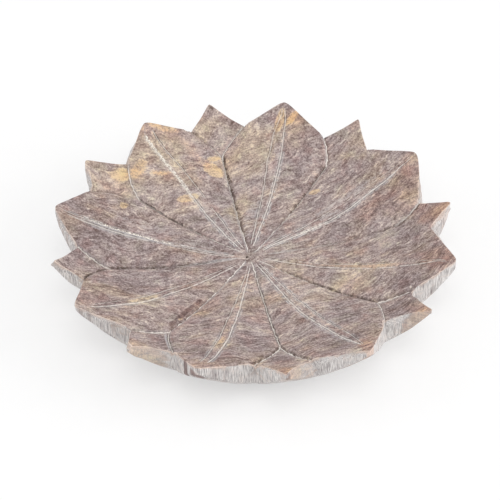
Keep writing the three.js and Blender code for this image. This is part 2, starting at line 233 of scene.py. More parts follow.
STAINS: dict[Mark, tuple[Blotch, ...]] = {
    Mark.OCHRE: blotches(
        (-1.8, 54, 4.2, 1.3, 1.2, 86, 0.7), (1.8, 55.4, 3.2, 1.1, 1, 62, 0.8),
        (-2, 50.6, 2.2, 0.7, 0.5, 84, 1), (-18.6, 33, 3.4, 2.2, 1.15, -22, 0.7),
        (-19.4, 37.4, 2.6, 1, 0.85, 35, 0.9), (-22.4, 35.2, 2.2, 1.6, 0.5, 0, 1),
        (-23.6, 19.8, 3.4, 1.4, 1.1, 26, 0.8), (13.7, 30.5, 1.8, 1.05, 1.15, 25, 0.7),
        (-40.4, 26, 4.2, 2.2, 0.66, 75, 1), (-33.6, 26.6, 3.6, 1, 0.66, 15, 1),
        (-45.2, 22.4, 3.8, 2.6, 0.76, 40, 1), (-41.2, 10.6, 1.4, 1, 1.15, 20, 0.6),
        (-1.3, 40.6, 2.2, 0.8, 0.45, 80, 1), (-24.6, -26.5, 8, 0.8, 0.3, 46, 1),
        (-13.9, -31.6, 1.2, 0.6, 0.8, 70, 0.8), (0.4, -40.4, 2.4, 0.8, 0.6, 85, 1),
        (15.6, -4.6, 2.2, 0.9, 0.42, 15, 1), (2.6, -14.6, 1.7, 1, 0.45, 10, 1),
        (-36.6, 43, 6, 1.5, 0.55, 6, 1.1), (-42.6, 40.6, 3, 1.2, 0.42, 70, 1.1),
    ),
    Mark.RUST: blotches(
        (42, 29, 9, 6, 0.6, -50, 1.4), (56.5, 1, 6.5, 5, 0.8), (54.6, -21.5, 6.5, 3.2, 0.8, -30),
        (53.6, 21.6, 6.5, 4, 0.95, 20), (21.6, -54, 3.2, 2.4, 0.95, -60, 1),
        (41.6, -40, 4, 2.2, 0.9, -60, 1), (43.4, -43, 2.4, 2, 1.6, -45, 0.9),
        (-2.2, -55.2, 5, 2.4, 0.5), (-40.5, -36, 6, 3.5, 0.5, -50, 1.3),
        (-22.6, -51.6, 4.5, 2.6, 0.5, -20), (-50, -18.2, 6, 3.5, 0.3, 0, 1.3),
        (13.6, 10.2, 3.4, 1, 0.6, 40, 1.1), (-8.5, -25, 7, 3.6, 0.6, 68),
        (41, 42.5, 3.6, 3, 0.5, 45), (-38.4, 42.6, 5, 2.4, 0.6, 5), (21.4, 55.4, 3, 2.4, 0.5, 70),
        (2.6, 55.6, 3.6, 3.4, 0.7, -40), (31, -8, 5, 3.4, 0.5, 20), (10.6, -16, 3.6, 3, 0.5),
        (13, -31, 4, 3, 0.5), (38, 10, 2.6, 5, 0.4), (-17, 41, 4, 3.6, 0.4), (-40, 40, 5, 3.6, 0.6),
        (3.6, 48, 4, 7, 0.45), (37, 24, 10, 4, 0.5, -10), (48, 23.5, 4, 3, 0.5),
        (-41, 24, 4, 3, 0.5), (-13, -30, 2.4, 6, 0.4), (-4, -28, 2.4, 6, 0.4), (-36, 41, 9, 3, 0.6),
        (-15, 41, 4, 8, 0.5), (31, 22, 5, 4, 0.6), (46, 24, 4, 4, 0.7), (42, 36, 4, 8, 0.6),
        (22, 35, 3, 4, 0.4), (-44, 17, 4, 3, 0.5), (14, -30, 5, 3, 0.5), (15, -20, 4, 3, 0.4),
        (-38, -35, 5, 4, 0.45), (20, -48, 4, 3, 0.5), (12, 3, 3, 3, 0.4),
    ),
    Mark.BEIGE: blotches(
        (-35, 37, 11, 8, 0.7, 135, 1.3), (-9, 46, 8, 5, 0.55, 60, 1.3), (-23, 47, 6, 6, 0.55, 70),
        (-51, 17, 6, 5, 0.6, 160), (-40, 18, 4, 5, 0.55), (-22, 17, 4.6, 3.6, 0.65, 20),
        (21, -13, 6, 4, 0.35, -30, 1.3), (-1, -16, 4, 5, 0.5, 0, 1.3),
        (-26, -28.4, 7, 1.3, 0.9, 48, 1), (34, -0.5, 14, 1.4, 0.6), (31.5, -6, 6, 4.6, 0.9, 25),
        (36, -27.5, 7.6, 4.6, 0.3, -30), (-3.5, 43, 2.6, 8, 0.65), (-43.6, 27, 3.6, 3.4, 0.9),
        (42, 27, 2.2, 6, 0.65, -15), (13, -3, 3.6, 5, 0.5), (10.5, -17, 3, 3, 0.5),
        (23, 1.5, 3.4, 1.6, 0.5), (26, -47.4, 3.6, 2.4, 0.6, -20), (-24, -27, 4, 2.6, 0.4),
        (45, -4, 4, 2.2, 0.4), (-36, 24, 4, 4, 0.5), (-33, 16, 4, 3, 0.5), (-42, 8, 3, 3, 0.4),
        (18, 44.6, 7, 2, 0.45), (5, 37, 2.2, 3, 0.4), (38, -43.4, 5, 1.6, 0.6, 5),
        (-9.6, -53, 2.4, 2.4, 0.5), (-45, -25.6, 3, 2.4, 0.5), (-15, 38, 5, 8, 0.7),
        (-40, 39, 5, 5, 0.9), (-41, 21, 5, 4, 0.8), (45, 41, 4, 3, 0.5), (39.4, 15, 2.4, 7, 0.7),
        (44.4, 29, 2, 5, 0.8, -10), (26, 44.4, 4, 2, 0.7), (-8, 22, 2.4, 10, 0.45),
        (9, 5.4, 3.4, 2.6, 0.5), (2, 52, 3, 4, 0.5), (23, -21, 5, 2.6, 0.4, -20),
        (38.6, 16, 3, 4, 0.5), (24.6, 49.5, 3.6, 5, 0.7, 20), (34.6, 39, 3.4, 4.4, 0.4, -30),
        (45, 31, 2.4, 4.4, 0.7, 10), (25, 29, 3.4, 3, 0.45), (7, 26, 2.6, 3.6, 0.4),
        (-0.6, -40, 3, 8, 0.45), (13, -50, 2.6, 4.4, 0.4), (-28, -42, 6, 3, 0.4, -20),
        (-18.6, -53, 7, 4, 0.9, 8, 0.9), (53.4, -26, 5.2, 3, 1, 32, 0.9),
        (25.4, -52.4, 2.6, 5.6, 0.75, -35, 0.9),
    ),
    Mark.SLATE: blotches(
        (45, -8, 7, 4.6, 0.45, -12), (44.6, 9, 5, 6, 0.75), (32, 23.5, 7, 3.6, 0.55, 30),
        (22, 15.5, 4.6, 4, 0.6, 30), (30, -38, 6, 3, 0.55, -20), (31, -17, 5, 2.6, 0.45, -25),
        (47, -19.5, 6, 3.5, 0.45, -25), (25, 36, 5, 5, 0.4, -45), (25, 3, 7, 3, 0.4),
        (6, 40, 3, 8, 0.35), (5, 13, 3.4, 5, 0.5), (-2, 18, 4, 8, 0.35), (-15, 25, 4.4, 4, 0.4),
        (-26, -7, 8, 3.4, 0.55), (-27, 4, 4.6, 3, 0.35), (-30, -22.5, 8, 4, 0.85, 10),
        (-44, -16, 6, 3.4, 0.5), (-13, -17, 4.6, 3.4, 0.45), (5, -24, 4, 5, 0.35),
        (12, -36, 4.4, 3.4, 0.4), (-15, -47, 4, 4, 0.45), (5, -51, 5, 3, 0.5),
        (-56, 3, 4, 3.4, 0.6, 40), (0, 4, 5, 4, 0.4), (33, -22.5, 4.6, 3.4, 0.75, -30),
        (-46, -6, 6, 4, 0.6), (-38, -14, 3.6, 3, 0.6, 30), (-52, 3.5, 5, 3, 0.5),
        (18, -45, 3.4, 3, 0.5), (-22, 14, 7, 3, 0.45), (-5, 3.4, 3, 2.4, 0.5),
        (-6, -36, 5, 3, 0.45), (31, -36, 4, 3, 0.4), (-20, 46, 4, 3, 0.4),
        (-11, 13, 5, 3, 0.6, -40), (-27, -6, 6, 3, 0.7), (-16.2, -45, 5, 1.3, 0.9, -67),
        (-1, -5, 4, 3, 0.4), (25, -5, 4, 3, 0.45), (33, -11, 4, 4, 0.5), (40, 1.6, 3, 2, 0.5),
        (-5, 52, 3, 4, 0.5), (18, 52, 4, 3, 0.5), (4.4, 8.6, 3.4, 3, 0.85), (-5, 3, 2.6, 2.4, 0.8),
        (5, -5, 4, 3, 0.55), (28, 9, 5, 2.6, 0.6), (28, 24, 3.4, 3, 0.7), (15, 26, 3.4, 3, 0.5),
        (-28, 42, 4, 3, 0.4), (-51, 2, 6, 2.4, 0.8), (33, -36, 6, 3, 0.8), (10, -38, 4.4, 4, 0.7),
        (-2, -34, 5, 3, 0.6), (-24, -9, 7, 3, 0.9), (-2, 25, 3, 4, 0.4), (-41, 38, 2.4, 4, 0.4),
        (-18, -40, 4, 3, 0.4), (20, -25, 3, 3, 0.4),
    ),
    Mark.DUST: blotches(
        (24, 28.3, 17, 1.7, 0.55, 46), (-42, -2.3, 10, 0.8, 0.8, 2), (28.4, -32, 14, 0.9, 0.5, -45),
        (-35, 4.6, 9, 3, 0.45), (-10.2, -4.2, 8, 0.7, 0.9, 22.5), (-22, -11, 7, 1.2, 0.35, 25),
        (9, 4, 5, 0.7, 0.6, 25), (-3, 17, 3, 10, 0.5), (-3, 42, 2.6, 12, 0.4, -2),
        (-15, 2, 5, 3.4, 0.4), (11, 3, 4, 5, 0.35), (40, -10, 4, 3, 0.3, -10),
        (20, 20.6, 5, 1.4, 0.6, 40), (-14.4, -44.6, 5.4, 0.5, 1.3, -67, 1),
    ),
    Mark.SPOT: blotches(
        (28.6, -46.4, 1.5, 0.9, 0.95, 60, 0.7), (11.2, -50, 1.2, 0.8, 0.9, 60, 0.7),
        (-12, -49.8, 1.1, 0.8, 0.85, 60, 0.7), (-43.6, -25.6, 2.6, 1.2, 0.75, 35, 0.9),
        (-10.6, -22.6, 1.6, 0.8, 0.95, 66, 0.8), (-13.4, -28.6, 5.6, 0.8, 1, 66, 0.9),
        (-15.4, -34.6, 1.8, 0.9, 0.95, 66, 0.8),
    ),
    Mark.PEAT: blotches(
        (-6.9, -55, 3, 0.75, 1, 80, 0.7), (-3, -57, 2.8, 2, 1, 0, 0.9, 14.2, 2.2),
        (22.6, -55.6, 2.4, 0.7, 0.7, -68, 0.9), (-34, -41, 8, 3, 0.42, 155, 1.3),
        (-57, -21, 4, 3, 0.4), (52, -26, 5, 3, 0.4, 30), (44, -34, 4, 3, 0.28, 60),
        (-20, -53, 5, 2.4, 0.35), (5.5, -57, 8, 4, 0.5), (56, -12, 6, 4, 0.5, 70),
        (54, 16, 7, 4, 0.45, 70), (-56, -7, 8, 3.4, 0.5, -60), (-51, -26, 6, 3.4, 0.5, -30),
        (-39.5, -43, 4, 3, 0.6, -40),
    ),
    Mark.FACET: blotches(
        (-17.2, -53.2, 6.2, 4.4, 2.8, -4, 0.9), (49.6, -25.8, 5.4, 3.6, 2.3, 13, 0.9),
        (26.4, -50.6, 5.6, 3.2, 2.4, 55, 0.9), (17, -53.6, 5, 3, 0.7, -32, 0.9),
        (-55.6, -19.4, 5, 4, 0.9, 60, 0.9), (-53.4, 15.6, 4.6, 3, 1.5, 72, 0.8),
        (46.2, 29.2, 5.6, 3, 0.9, -77, 0.8), (-45, 30.4, 6.6, 3, 0.45, 80, 0.8),
        (-35, -42, 8, 3, 1, 170, 0.9), (35.6, -46.4, 7.4, 3.6, 1.7, 12, 0.8),
    ),
    Mark.SHADE: blotches(
        (35, 35, 16, 8, 0.5, -45), (50, 0, 8, 15, 0.7), (34, -34, 16, 8, 0.7, 45),
        (0, -48, 15, 8, 0.6), (-34, -34, 16, 9, 0.7, -45), (-46, 2, 9, 14, 0.7),
        (-9, -9, 7, 6, 0.5, 45), (-16, 0, 9, 5, 0.5), (47.5, 19, 6, 4, 0.6, 20),
        (46, -19, 6, 4, 0.6, -20),
    ),
}


# The plan of the carving


@dataclass(frozen=True)
class PetalCut:
    """One main petal as the hand cut it.

    tip, left and right say how many millimetres the tip and the two notches lie beyond their even
    places, and how many degrees anticlockwise of them. nose is the bluntness of the tip, and
    line_end the radius at which the scribed lines run out. The rest are tables with one value for
    each of LINE_RADII. left_line and right_line are the two scribed lines of the midrib, as
    millimetres to the right of the petal's even axis. left_chalk and right_chalk are how white
    they are, and less than nothing where they are dark. warm and dust colour the strip between
    them.
    """

    tip: Pair
    left: Pair
    right: Pair
    nose: float
    left_line: Table
    right_line: Table
    line_end: float
    left_chalk: Table
    right_chalk: Table
    warm: Table = (0, 0, 0, 0, 0, 0)
    dust: Table = (0, 0, 0, 0, 0, 0)


@dataclass(frozen=True)
class Groove:
    """How one groove looks along its length.

    fill and dirt are values spread evenly from the groove's start to its end: how white its dust
    is and how dark its walls are, with dirt and painted shade. lean is 1 where that dark lies on
    the clockwise wall, -1 where it lies on the other wall and 0 where it lies on both.
    """

    fill: tuple[float, ...]
    dirt: tuple[float, ...]
    lean: float = 0.0

    def along(self, share: Array) -> Array:
        """The groove's look along its length, by straight lines between its values.

        Args:
            share: shares of the groove's length.

        Returns:
            Rows of fill, dirt and lean.
        """
        tables = (self.fill, self.dirt, (self.lean, self.lean))
        places = [np.linspace(0.0, 1.0, len(table)) for table in tables]
        return np.stack([np.interp(share, at, table) for at, table in zip(places, tables)])


@dataclass(frozen=True)
class BackCut:
    """One back petal as the hand cut it, with the three grooves that leave its fork.

    tip and fork are wander pairs and nose a bluntness, as in PetalCut. inner runs from the hub to
    the fork, and left and right run on from there to the two notches. inner_depth is the depth of
    the inner groove as a share.
    """

    tip: Pair
    fork: Pair
    nose: float
    inner: Groove
    left: Groove
    right: Groove
    inner_depth: float = 1.0


LINE_RADII = (8, 20, 30, 40, 50, 57)

PETALS = (
    PetalCut(
        (0, 1.5), (0.5, 0), (0, 0), 1.2,
        (-1.2, -1.5, -2.05, -2.8, -2.9, -1.3), (-0.1, 0.9, 1, 1.05, 0.2, -0.4), 59,
        (0.6, 0.7, 0.55, 0.5, 0.5, 0.4), (0.82, 0.86, 0.86, 0.84, 0.65, 0.4),
        dust=(0, 0.2, 0.35, 0.3, 0.1, 0),
    ),
    PetalCut(
        (0.5, 0.5), (1.5, 1), (1, -1.5), 1.8,
        (-1, -1.2, -1.5, -1.6, -1.6, -1.5), (-0.4, 0.8, 1.75, 1, 0.6, -0.5), 59.5,
        (0.7, 0.7, 0.45, 0.3, 0.4, 0.3), (0.82, 0.94, 0.88, 0.84, 0.76, 0.5),
        dust=(0, 0.3, 0.3, 0.2, 0.1, 0),
    ),
    PetalCut(
        (1.5, -2.5), (1, 3), (-1, 0.5), 1,
        (-0.2, 0.1, 0, 0, 0.3, 0.5), (0.5, 1.5, 1.6, 2, 1.75, 1), 59.5,
        (0.35, 0.4, 0.4, 0.35, -0.3, -0.4), (0.5, 0.5, 0.4, 0.35, 0.4, 0.4),
        warm=(0, 0.4, 0.8, 0.7, 0.3, 0.1),
    ),
    PetalCut(
        (2, -0.5), (0, 0.5), (2.5, 0.5), 0.4,
        (-0.6, -0.5, -0.6, -1, -1.75, -0.8), (0.5, 1.5, 2.05, 1.5, 0.7, -0.3), 57.5,
        (0.8, 0.84, 0.82, 0.78, 0.7, 0.55), (0.7, 0.8, 0.86, 0.86, 0.82, 0.6),
        warm=(0.1, 0.2, 0.3, 0.5, 0.4, 0.2),
    ),
    PetalCut(
        (-1, -2.5), (-1.5, -0.5), (-1.5, 0.5), 0.5,
        (-1.2, -1.75, -2, -1.9, -0.8, 0.9), (-0.4, -0.1, 0.5, 0.7, 1.6, 2.7), 55.5,
        (0.6, 0.72, 0.75, 0.75, 0.78, 0.78), (0.45, 0.6, 0.45, 0.75, 0.75, 0.7),
        warm=(0, 0.2, 0.5, 0.6, 0.4, 0.2),
        dust=(0, 0.4, 0, 0, 0, 0),
    ),
    PetalCut(
        (-1, -0.5), (-2.5, 0), (-2, -2), 1,
        (-1.3, -2.1, -2.3, -2.5, -1.1, 0.1), (-0.4, -0.5, -0.6, -0.3, 0.3, 0.7), 55.5,
        (0.4, 0.5, 0.6, 0.65, 0.6, 0.5), (0.4, 0.5, 0.5, 0.45, 0.4, 0.35),
        warm=(0, 0.1, 0.3, 0.4, 0.3, 0.2),
        dust=(0.2, 0.3, 0.1, 0, 0, 0),
    ),
    PetalCut(
        (-1, 1), (-1.5, -0.5), (1, 1), 1,
        (-1.5, -1.6, -1.5, -1.75, -2, -1.6), (-0.8, -0.6, -0.4, -0.4, -0.6, -1), 58,
        (0.4, 0.3, -0.4, -0.7, -0.5, -0.3), (0.75, 0.9, 1, 1, 0.9, 0.6),
        dust=(0.3, 0.6, 0.9, 1, 0.7, 0.3),
    ),
    PetalCut(
        (-0.5, 0), (-0.5, -0.5), (1, 1), 1.2,
        (-1.1, -1.45, -1.2, -1.2, -2, -2.6), (0.5, 1.3, 2.05, 1.9, 0.9, 0.6), 57.5,
        (0.8, 0.78, 0.92, 1, 1, 1), (0.72, 0.72, -0.5, -0.8, -0.8, -0.6),
        dust=(0, 0.4, 0.4, 0.1, 0, 0),
    ),
)

BACK_PETALS = (
    BackCut(
        (1, 1), (2, 2), 0.8,
        Groove((0.9, 0.7, 0.5, 0.6), (0, 0.3, 0.75, 0.7), -0.6),
        Groove((0.9, 0.8), (0.5, 0.35), 0.6),
        Groove((0.35, 0.15), (0.2, 0.15)),
        0.65,
    ),
    BackCut(
        (1, 0.5), (2, 1), 0.5,
        Groove((0.35, 0.35, 0.25, 0.1), (0, 0.2, 0.45, 0.5), -0.3),
        Groove((0.3, 0.7), (0.7, 0.6), 0.8),
        Groove((0, 0), (0.25, 0.1)),
        0.25,
    ),
    BackCut(
        (2.5, 0), (1.5, 1.5), 0.6,
        Groove((0.6, 0.55, 0.35, 0.35), (0.05, 0.55, 0.85, 0.7), -0.5),
        Groove((0.7, 0.8), (0.5, 0.5), -0.5),
        Groove((0.9, 0.9), (0.45, 0.35), -0.3),
        0.6,
    ),
    BackCut(
        (0.5, -1), (0, 1), 0.4,
        Groove((0.85, 0.85, 0.85, 1), (0.6, 0.95, 1, 1), 0.1),
        Groove((0.75, 0.85), (0.6, 0.9), -0.5),
        Groove((0.75, 0.8), (0.6, 0.85), 0.6),
        0.85,
    ),
    BackCut(
        (-1, -1.5), (-0.5, 0.5), 0.8,
        Groove((0.9, 0.9, 0.85, 0.95), (0.1, 0.25, 0.4, 0.5), 0.7),
        Groove((1, 1), (0.6, 1), 0.1),
        Groove((0.9, 0.75), (0.3, 0.3), -0.3),
        0.6,
    ),
    BackCut(
        (-1.5, 0.5), (0, 0), 1,
        Groove((0.5, 0.4, 0.4, 0.4), (0.15, 0.5, 0.8, 0.85), 0.5),
        Groove((0.35, 0.3), (0.7, 0.95), 0.7),
        Groove((0.6, 0.9), (0.5, 0.3), -0.4),
        0.6,
    ),
    BackCut(
        (0, 1), (-1, 0), 1.8,
        Groove((0.6, 0.45, 0.1, 0.45), (0.1, 0.55, 1, 0.9), -0.2),
        Groove((0.2, 0.1), (0.3, 0.2)),
        Groove((0.95, 0.85), (0.35, 0.3), -0.4),
        0.6,
    ),
    BackCut(
        (0.5, 1.5), (0.5, 1), 0.7,
        Groove((0.85, 0.75, 0.6, 0.75), (0.25, 0.7, 0.9, 0.95), 0.8),
        Groove((0.75, 0.1), (0.4, 0.25)),
        Groove((0.85, 0.7), (0.55, 0.3), 0.4),
        0.85,
    ),
)


@dataclass(frozen=True)
class Flare:
    """Where a filed wall stands out below its rim: plan place, reach, and how far it stands out."""

    x: float
    y: float
    reach: float
    out: float


FLARES = tuple(
    Flare(*row)
    for row in (
        (-45.6, 28.6, 7, 1.3), (46.8, 28, 6, 0.7), (54.4, 14.6, 6.5, 1.7), (-57.5, 6, 5, 0.4),
        (-55.5, -8, 6, 0.8), (-52, -25, 5, 0.9),
    )
)


@dataclass(frozen=True)
class Chip:
    """A flake lost from an edge: its plan place, width and depth in millimetres."""

    x: float
    y: float
    width: float
    depth: float


CHIPS = tuple(
    Chip(*row)
    for row in (
        (51.9, -13.4, 1.9, 0.9), (28.4, -46.6, 1.5, 0.7), (11.6, -50.4, 1.4, 0.6),
        (-10.4, -23, 1.3, 0.4), (-13.4, -30.6, 1.6, 0.6), (32.8, 14.2, 1.2, 0.45),
        (37.2, 15.8, 1.4, 0.5), (0.4, 45, 1.1, 0.4), (-3.4, -8.8, 0.9, 0.3), (-45, -25.6, 1.5, 0.5),
        (46.6, 42.2, 0.9, 0.3), (-29.6, 44.9, 0.9, 0.3), (56.2, 22.6, 1.6, 0.7),
        (-55, -23.4, 1.6, 0.7),
    )
)


@dataclass(frozen=True)
class DishForm:
    """Heights of the dish, its petals and its underside, in millimetres."""

    reach: float = 60.0
    rise: float = 11.0
    floor: float = 8.0
    dish_power: float = 2.3
    crown: float = 1.6
    crown_skew: float = 1.6
    crown_power: float = 1.5
    back_drop_fork: float = 2.5
    back_drop_tip: float = 0.9
    base_radius: float = 38.1
    tip_thickness: float = 2.8
    thinnest_tip: float = 1.5
    underside_power: float = 1.95
    blank_centre: Pair = (1.6, 0.6)

    def dish(self, radius: Array) -> Array:
        """Height along the midribs: the floor plus the rise times the radius share to a power."""
        return self.floor + self.rise * (radius / self.reach) ** self.dish_power

    def crown_drop(self, radius: Array) -> Array:
        """How far a border lies below its midrib: crown · sin(pi · share^skew)."""
        share = np.minimum(1.0, radius / self.reach)
        return self.crown * np.sin(math.pi * share**self.crown_skew)

    def back(self, radius: Array, fork_radius: float, tip_radius: float) -> Array:
        """Height of a back petal: the dish less a drop that shrinks evenly from fork to tip.

        Args:
            radius: distances from the middle of the dish.
            fork_radius: where the drop is that of the fork.
            tip_radius: where the drop is that of the tip.

        Returns:
            One height for each radius.
        """
        share = (radius - fork_radius) / (tip_radius - fork_radius)
        drop = self.back_drop_fork + (self.back_drop_tip - self.back_drop_fork) * share
        return self.dish(radius) - drop

    def underside(self, radius: Array) -> Array:
        """Height of the underside: the tips' height times the share of the way out, to a power.

        Args:
            radius: distances from the blank's centre.

        Returns:
            One height for each radius.
        """
        top = self.floor + self.rise - self.tip_thickness
        share = (radius - self.base_radius) / (self.reach - self.base_radius)
        return top * np.maximum(0.0, share) ** self.underside_power


@dataclass(frozen=True)
class CutDepths:
    """Widths and depths of the cut lines, in millimetres, where a petal is wide enough for them."""

    detail_width: float = 8.0
    back_detail_width: float = 3.0
    scribe_half: float = 0.24
    scribe_depth: float = 0.26
    trough_width: float = 2.6
    trough_depth: float = 0.22
    groove_half: float = 0.5
    groove_depth: float = 0.6
    groove_full_radius: float = 16.0
    bevel_width: float = 2.0
    bevel_drop: float = 0.3
    rim_round: float = 0.4
    nick_width: float = 0.7
    nick_depth: float = 1.6
    nick_approach: float = 1.2


@dataclass
class Side:
    """One side of a petal from the middle of the dish out to the tip, row by row.

    point is the outermost plan point of each row and height its height. drop is how far the
    petal's edge lies below the dish there, and bevel the fall of its broad bevel. on_rim is 1 past
    the notch. fill, dirt and lean colour the groove: dust, and dirt with painted shade.
    """

    point: Array
    height: Array
    drop: Array
    bevel: Array
    on_rim: Array
    fill: Array
    dirt: Array
    lean: Array

    def notch_row(self) -> int:
        """Number of the row that ends at the notch."""
        return int(np.argmax(self.on_rim > 0)) - 1


@dataclass
class Patch:
    """A grid of surface points, rows by columns, with the marks of each point."""

    points: Array
    marks: dict[Mark, Array]


def plain_marks(shape: tuple[int, ...]) -> dict[Mark, Array]:
    """Every mark as it is away from all lines, grooves and patches.

    Args:
        shape: rows and columns of the patch.

    Returns:
        The marks, all zero but for the distances to lines and grooves.
    """
    marks = {mark: np.zeros(shape) for mark in Mark}
    marks[Mark.LINE] += FAR
    marks[Mark.GROOVE] += FAR
    return marks


@dataclass(frozen=True)
class LotusPlan:
    """Plan of the eight main petals and the eight back petals, in millimetres and degrees."""

    form: DishForm = DishForm()
    cuts: CutDepths = CutDepths()
    fork_radius: float = 41.4
    notch_radius: float = 52.5
    notch_angle: float = 13.815
    border_arrival: float = 28.0
    fork_ease: float = 0.2
    notch_ease: float = 0.35
    back_hollow: float = 0.25
    hub_share: float = 0.085
    inner_rows: int = 66
    shoulder_rows: int = 26
    nick_rows: tuple[float, ...] = (0.2, 0.45, 0.7)
    flank_rows: int = 30
    flank_gather: float = 1.6
    deep_from: float = 0.82
    blend_share: float = 1 / 6
    nick_reach: float = 1.6

    def bearing(self, index: float) -> float:
        """Even bearing of a main petal, clockwise from the one on +Y, or of a place between two."""
        return 90.0 - index * PETAL_STEP

    def placed(self, radius: float, degrees: float, wander: Pair) -> Array:
        """Plan point near its even place, moved by its wander."""
        return polar(radius + wander[0], degrees + wander[1])

    def tip(self, index: int) -> Array:
        """Tip of a main petal."""
        return self.placed(self.form.reach, self.bearing(index), PETALS[index].tip)

    def notch(self, index: int, side: int) -> Array:
        """Rim notch on a main petal's left (side -1) or right (side 1)."""
        wander = PETALS[index].left if side < 0 else PETALS[index].right
        return self.placed(self.notch_radius, self.bearing(index) - side * self.notch_angle, wander)

    def fork(self, index: int) -> Array:
        """Inner point of the back petal on the right of a main petal."""
        return self.placed(self.fork_radius, self.bearing(index + 0.5), BACK_PETALS[index].fork)

    def back_tip(self, index: int) -> Array:
        """Tip of the back petal on the right of a main petal."""
        return self.placed(self.form.reach, self.bearing(index + 0.5), BACK_PETALS[index].tip)

    def border(self, index: int, side: int) -> Side:
        """Groove from the hub out to a fork and round a main petal's shoulder to its notch.

        The inner part is a straight line. The shoulder is a cubic curve that leaves the fork
        along the same line and meets the notch at border_arrival degrees to the petal's axis.

        Args:
            index: which main petal.
            side: -1 for its left side, 1 for its right.

        Returns:
            The rows of this side as far as the notch.
        """
        form, cuts = self.form, self.cuts
        back = (index - 1) % PETAL_COUNT if side < 0 else index
        cut, fork, notch = BACK_PETALS[back], self.fork(back), self.notch(index, side)
        inner = np.linspace(self.hub_share, 1.0, self.inner_rows)
        lead = float(np.linalg.norm(notch - fork))
        turn = math.radians(side * self.border_arrival)
        cosine, sine = math.cos(turn), math.sin(turn)
        arrival = np.array([[cosine, -sine], [sine, cosine]]) @ unit(self.tip(index))
        first = fork + unit(fork) * self.fork_ease * lead
        second = notch - arrival * self.notch_ease * lead
        u = np.linspace(0.0, 1.0, self.shoulder_rows + 1)[1:, None]
        leaving = (1 - u) ** 3 * fork + 3 * (1 - u) ** 2 * u * first
        shoulder = leaving + 3 * (1 - u) * u**2 * second + u**3 * notch
        point = np.vstack([inner[:, None] * fork, shoulder])
        radius = np.linalg.norm(point, axis=1)
        outwards = smooth((inner - self.deep_from) / (1.0 - self.deep_from))
        along = np.concatenate([outwards, np.ones(self.shoulder_rows)])
        taper = np.minimum(1.0, radius / cuts.groove_full_radius)
        taper *= cut.inner_depth + (1.0 - cut.inner_depth) * along
        groove = cuts.groove_depth + cuts.bevel_drop
        near_notch = smooth(1.0 - np.linalg.norm(point - notch, axis=1) / cuts.nick_approach)
        drop = form.crown_drop(radius)
        outer = (cut.right if side < 0 else cut.left).along(u[:, 0])
        hub_to_fork = cut.inner.along((inner - self.hub_share) / (1.0 - self.hub_share))
        outer += (hub_to_fork[:, -1:] - outer) * smooth(1.0 - u[:, 0] / self.blend_share)
        fill, dirt, lean = np.concatenate([hub_to_fork, outer], axis=1)
        sunk = groove * taper + (cuts.nick_depth - groove) * near_notch
        height = form.dish(radius) - drop - sunk
        on_rim = np.zeros(len(point))
        return Side(point, height, drop, cuts.bevel_drop * taper, on_rim, fill, dirt, lean)

    def flank(self, start: Side, index: int, back: bool) -> Side:
        """Rim from a notch out to a tip.

        At a share q of the way still to go, the half width is the square root of
        (q + blunt)² - blunt², so that the tip closes in a rounded nose, and a hollow flank draws
        in by its own share.

        Args:
            start: the border that ends at the notch.
            index: which main petal.
            back: True for the back petal on its right.

        Returns:
            The rows of this side from just past the notch to the tip.
        """
        form, notch = self.form, start.point[-1]
        tip = self.back_tip(index) if back else self.tip(index)
        reached = np.array(self.nick_rows) / float(np.linalg.norm(notch - tip))
        rest = np.linspace(0.0, 1.0, self.flank_rows + 1)[1:]
        spread = (1.0 - reached[-1]) * (1.0 - rest) ** self.flank_gather
        left = np.concatenate([1.0 - reached, spread])
        axis = unit(tip)
        foot = axis * float(notch @ axis)
        blunt = (BACK_PETALS if back else PETALS)[index].nose / float(np.linalg.norm(foot - tip))
        full = np.sqrt((left + blunt) ** 2 - blunt**2) / math.sqrt((1 + blunt) ** 2 - blunt**2)
        hollow = self.back_hollow if back else 0.0
        width = full * (1.0 - hollow + hollow * full)
        point = tip + (foot - tip) * left[:, None] + (notch - foot) * width[:, None]
        radius = np.linalg.norm(point, axis=1)
        if back:
            edge = form.back(radius, *(float(np.linalg.norm(p)) for p in (self.fork(index), tip)))
            drop = form.dish(radius) - edge
        else:
            drop = float(form.crown_drop(np.array(self.notch_radius))) * width
            edge = form.dish(radius) - drop
        past = np.linalg.norm(point - notch, axis=1)
        near = smooth(1.0 - past / (self.nick_reach * self.cuts.nick_width))
        edge_at_notch = float(form.dish(np.linalg.norm(notch)) - start.drop[-1])
        rounding = self.cuts.rim_round * width
        fall = rounding + (edge_at_notch - float(start.height[-1]) - rounding) * near
        ends = (start.bevel[-1], start.fill[-1], start.dirt[-1])
        bevel, fill, dirt = (end * near for end in ends)
        on_rim = np.ones(len(point))
        return Side(point, edge - fall, drop, bevel, on_rim, fill, dirt, np.zeros(len(point)))

    def whole_side(self, border: Side, index: int, back: bool) -> Side:
        """One side of a petal from its start out to its tip.

        Args:
            border: the groove on this side.
            index: which main petal.
            back: True for the back petal on its right, whose side starts at the fork.

        Returns:
            The border's rows followed by the rim's.
        """
        rim = self.flank(border, index, back)
        start = self.inner_rows - 1 if back else 0
        names = [item.name for item in fields(Side)]
        return Side(*(np.concatenate([getattr(border, n)[start:], getattr(rim, n)]) for n in names))


